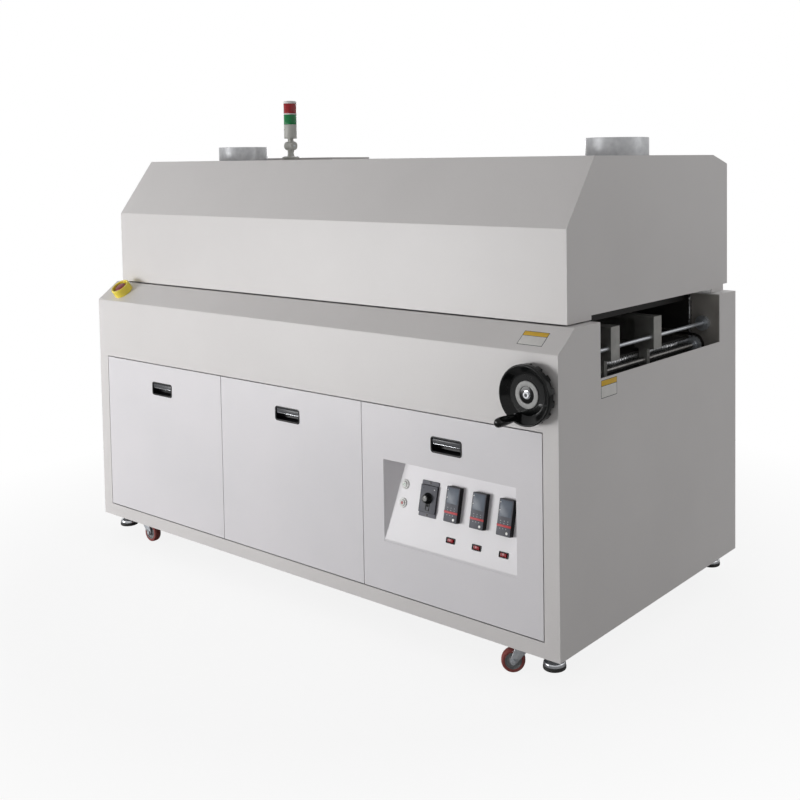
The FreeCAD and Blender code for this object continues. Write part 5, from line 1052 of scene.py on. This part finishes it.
class OVEN_OT_stage(bpy.types.Operator):
    """Lays the floor, sets the soft light and places the camera"""
    bl_idname = "oven.stage"
    bl_label = "Floor, Light and Camera"

    def execute(self, context):
        settings = context.scene.oven_stage
        radius, sides = 14.0, 96
        floor = bpy.data.meshes.new("floor")
        ring = np.column_stack([circle(radius, sides), np.zeros(sides)])
        floor.from_pydata(ring.tolist(), [], [list(range(sides))])
        shown = bpy.data.objects.new("floor", floor)
        context.scene.collection.objects.link(shown)
        floor.materials.append(self.floor_material())
        self.world(context, settings.ambient)
        for name, place, target, share in LAMPS:
            self.lamp(context, name, place, target, settings.key_power * share)
        self.camera(context, settings.focal_length)
        context.scene.view_settings.view_transform = "Standard"
        return {"FINISHED"}

    def camera(self, context, focal_length):
        """Stands before the right end, turned left by yaw, dipped, and rolled by a trace."""
        data = bpy.data.cameras.new("camera")
        data.lens = focal_length
        data.sensor_width = 36.0
        data.shift_x, data.shift_y = -0.125, -0.225
        camera = bpy.data.objects.new("camera", data)
        context.scene.collection.objects.link(camera)
        camera.location = (2.540, FRONT * MM - 2.197, 1.361)
        camera.rotation_mode = "XYZ"
        yaw, dip, roll = math.radians(37.70), math.radians(3.12), math.radians(0.65)
        level = Matrix.Rotation(yaw, 3, "Z") @ Matrix.Rotation(math.pi / 2 - dip, 3, "X")
        camera.rotation_euler = (level @ Matrix.Rotation(-roll, 3, "Z")).to_euler()
        context.scene.camera = camera

    def lamp(self, context, name, place, target, power):
        """A soft rectangular lamp that looks from its place to its target."""
        data = bpy.data.lights.new(name, "AREA")
        data.shape = "RECTANGLE"
        data.size, data.size_y = LAMP_SIZE
        data.energy = power
        lamp = bpy.data.objects.new(name, data)
        context.scene.collection.objects.link(lamp)
        lamp.location = place
        lamp.rotation_euler = (Vector(target) - Vector(place)).to_track_quat("-Z", "Y").to_euler()

    def floor_material(self):
        """Pale matt floor. Seen directly it is lifted towards white, so that only the shadow shows."""
        made = bpy.data.materials.new("pale_floor")
        tree = emptied(made)
        where = add(tree, "TexCoord").outputs["Object"]
        mottle = add(tree, "TexNoise", {"Vector": where, "Scale": per_mm(600), "Detail": 2.0}).outputs["Fac"]
        tone = add(tree, "MixRGB", {"Fac": mottle, "Color1": linear("#F4F4F4"), "Color2": linear("#F0F0F0")})
        matt = add(tree, "BsdfDiffuse", {"Color": tone.outputs["Color"]})
        white = add(tree, "Emission", {"Strength": 1.0})
        seen = add(tree, "LightPath").outputs["Is Camera Ray"]
        far = add(tree, "VectorMath", {0: where}, operation="LENGTH").outputs["Value"]
        lift = add(tree, "MapRange", {"Value": far, "From Min": 1.2, "From Max": 2.1, "To Min": 0.87,
                                                "To Max": 1.0}).outputs["Result"]
        share = add(tree, "Math", {0: seen, 1: lift}, operation="MULTIPLY").outputs["Value"]
        mixed = add(tree, "MixShader", {"Fac": share, 1: matt.outputs["BSDF"],
                                                  2: white.outputs["Emission"]}).outputs["Shader"]
        add(tree, "OutputMaterial", {"Surface": mixed})
        return made

    def world(self, context, ambient):
        """White where it is seen or mirrored. As a light it is a grey dome, darker towards the horizon."""
        world = bpy.data.worlds.new("studio")
        context.scene.world = world
        tree = emptied(world)
        path = add(tree, "LightPath").outputs
        either = add(tree, "Math", {0: path["Is Camera Ray"], 1: path["Is Glossy Ray"]}, operation="MAXIMUM")
        shown = add(tree, "Math", {0: either.outputs["Value"], 1: path["Is Transmission Ray"]},
                    operation="MAXIMUM").outputs["Value"]
        direction = add(tree, "TexCoord").outputs["Generated"]
        height = add(tree, "SeparateXYZ", {"Vector": direction}).outputs["Z"]
        level = add(tree, "MapRange", {"Value": height, "From Min": 0.1, "From Max": 0.6,
                                                 "To Min": ambient * 0.15, "To Max": ambient}).outputs["Result"]
        light = add(tree, "Background", {"Color": [1, 1, 1, 1], "Strength": level})
        white = add(tree, "Background", {"Color": [1, 1, 1, 1], "Strength": 1.0})
        mixed = add(tree, "MixShader", {"Fac": shown, 1: light.outputs["Background"],
                                                  2: white.outputs["Background"]}).outputs["Shader"]
        add(tree, "OutputWorld", {"Surface": mixed})


OPERATORS = (OVEN_OT_sheet_metal, OVEN_OT_hood_fittings, OVEN_OT_vent_filters, OVEN_OT_door_pulls,
             OVEN_OT_instruments, OVEN_OT_emergency_stop, OVEN_OT_handwheel, OVEN_OT_signal_tower, OVEN_OT_tunnel_drive,
             OVEN_OT_casters, OVEN_OT_levelling_feet, OVEN_OT_blank_plates, OVEN_OT_stage)

GROUPS = {"oven_colours": OvenColours, "oven_controls": OvenControls, "oven_handwheel": OvenHandwheel,
          "oven_running_gear": OvenRunningGear, "oven_stage": OvenStage}


class OVEN_PT_panel(bpy.types.Panel):
    """Lists the oven's settings and the pieces that can be built"""
    bl_label = "Reflow Oven"
    bl_idname = "OVEN_PT_panel"
    bl_space_type = "VIEW_3D"
    bl_region_type = "UI"
    bl_category = "Oven"

    def draw(self, context):
        for group, kind in GROUPS.items():
            column = self.layout.box().column()
            for name in kind.__annotations__:
                column.prop(getattr(context.scene, group), name)
        for operator in OPERATORS:
            self.layout.operator(operator.bl_idname)


def register():
    for kind in tuple(GROUPS.values()) + OPERATORS + (OVEN_PT_panel,):
        bpy.utils.register_class(kind)
    for group, kind in GROUPS.items():
        setattr(bpy.types.Scene, group, bpy.props.PointerProperty(type=kind))


def unregister():
    for group in GROUPS:
        delattr(bpy.types.Scene, group)
    for kind in (OVEN_PT_panel,) + OPERATORS[::-1] + tuple(GROUPS.values())[::-1]:
        bpy.utils.unregister_class(kind)


def main():
    register()
    for operator in OPERATORS:
        group, name = operator.bl_idname.split(".")
        getattr(getattr(bpy.ops, group), name)()


if __name__ == "__main__":
    main()
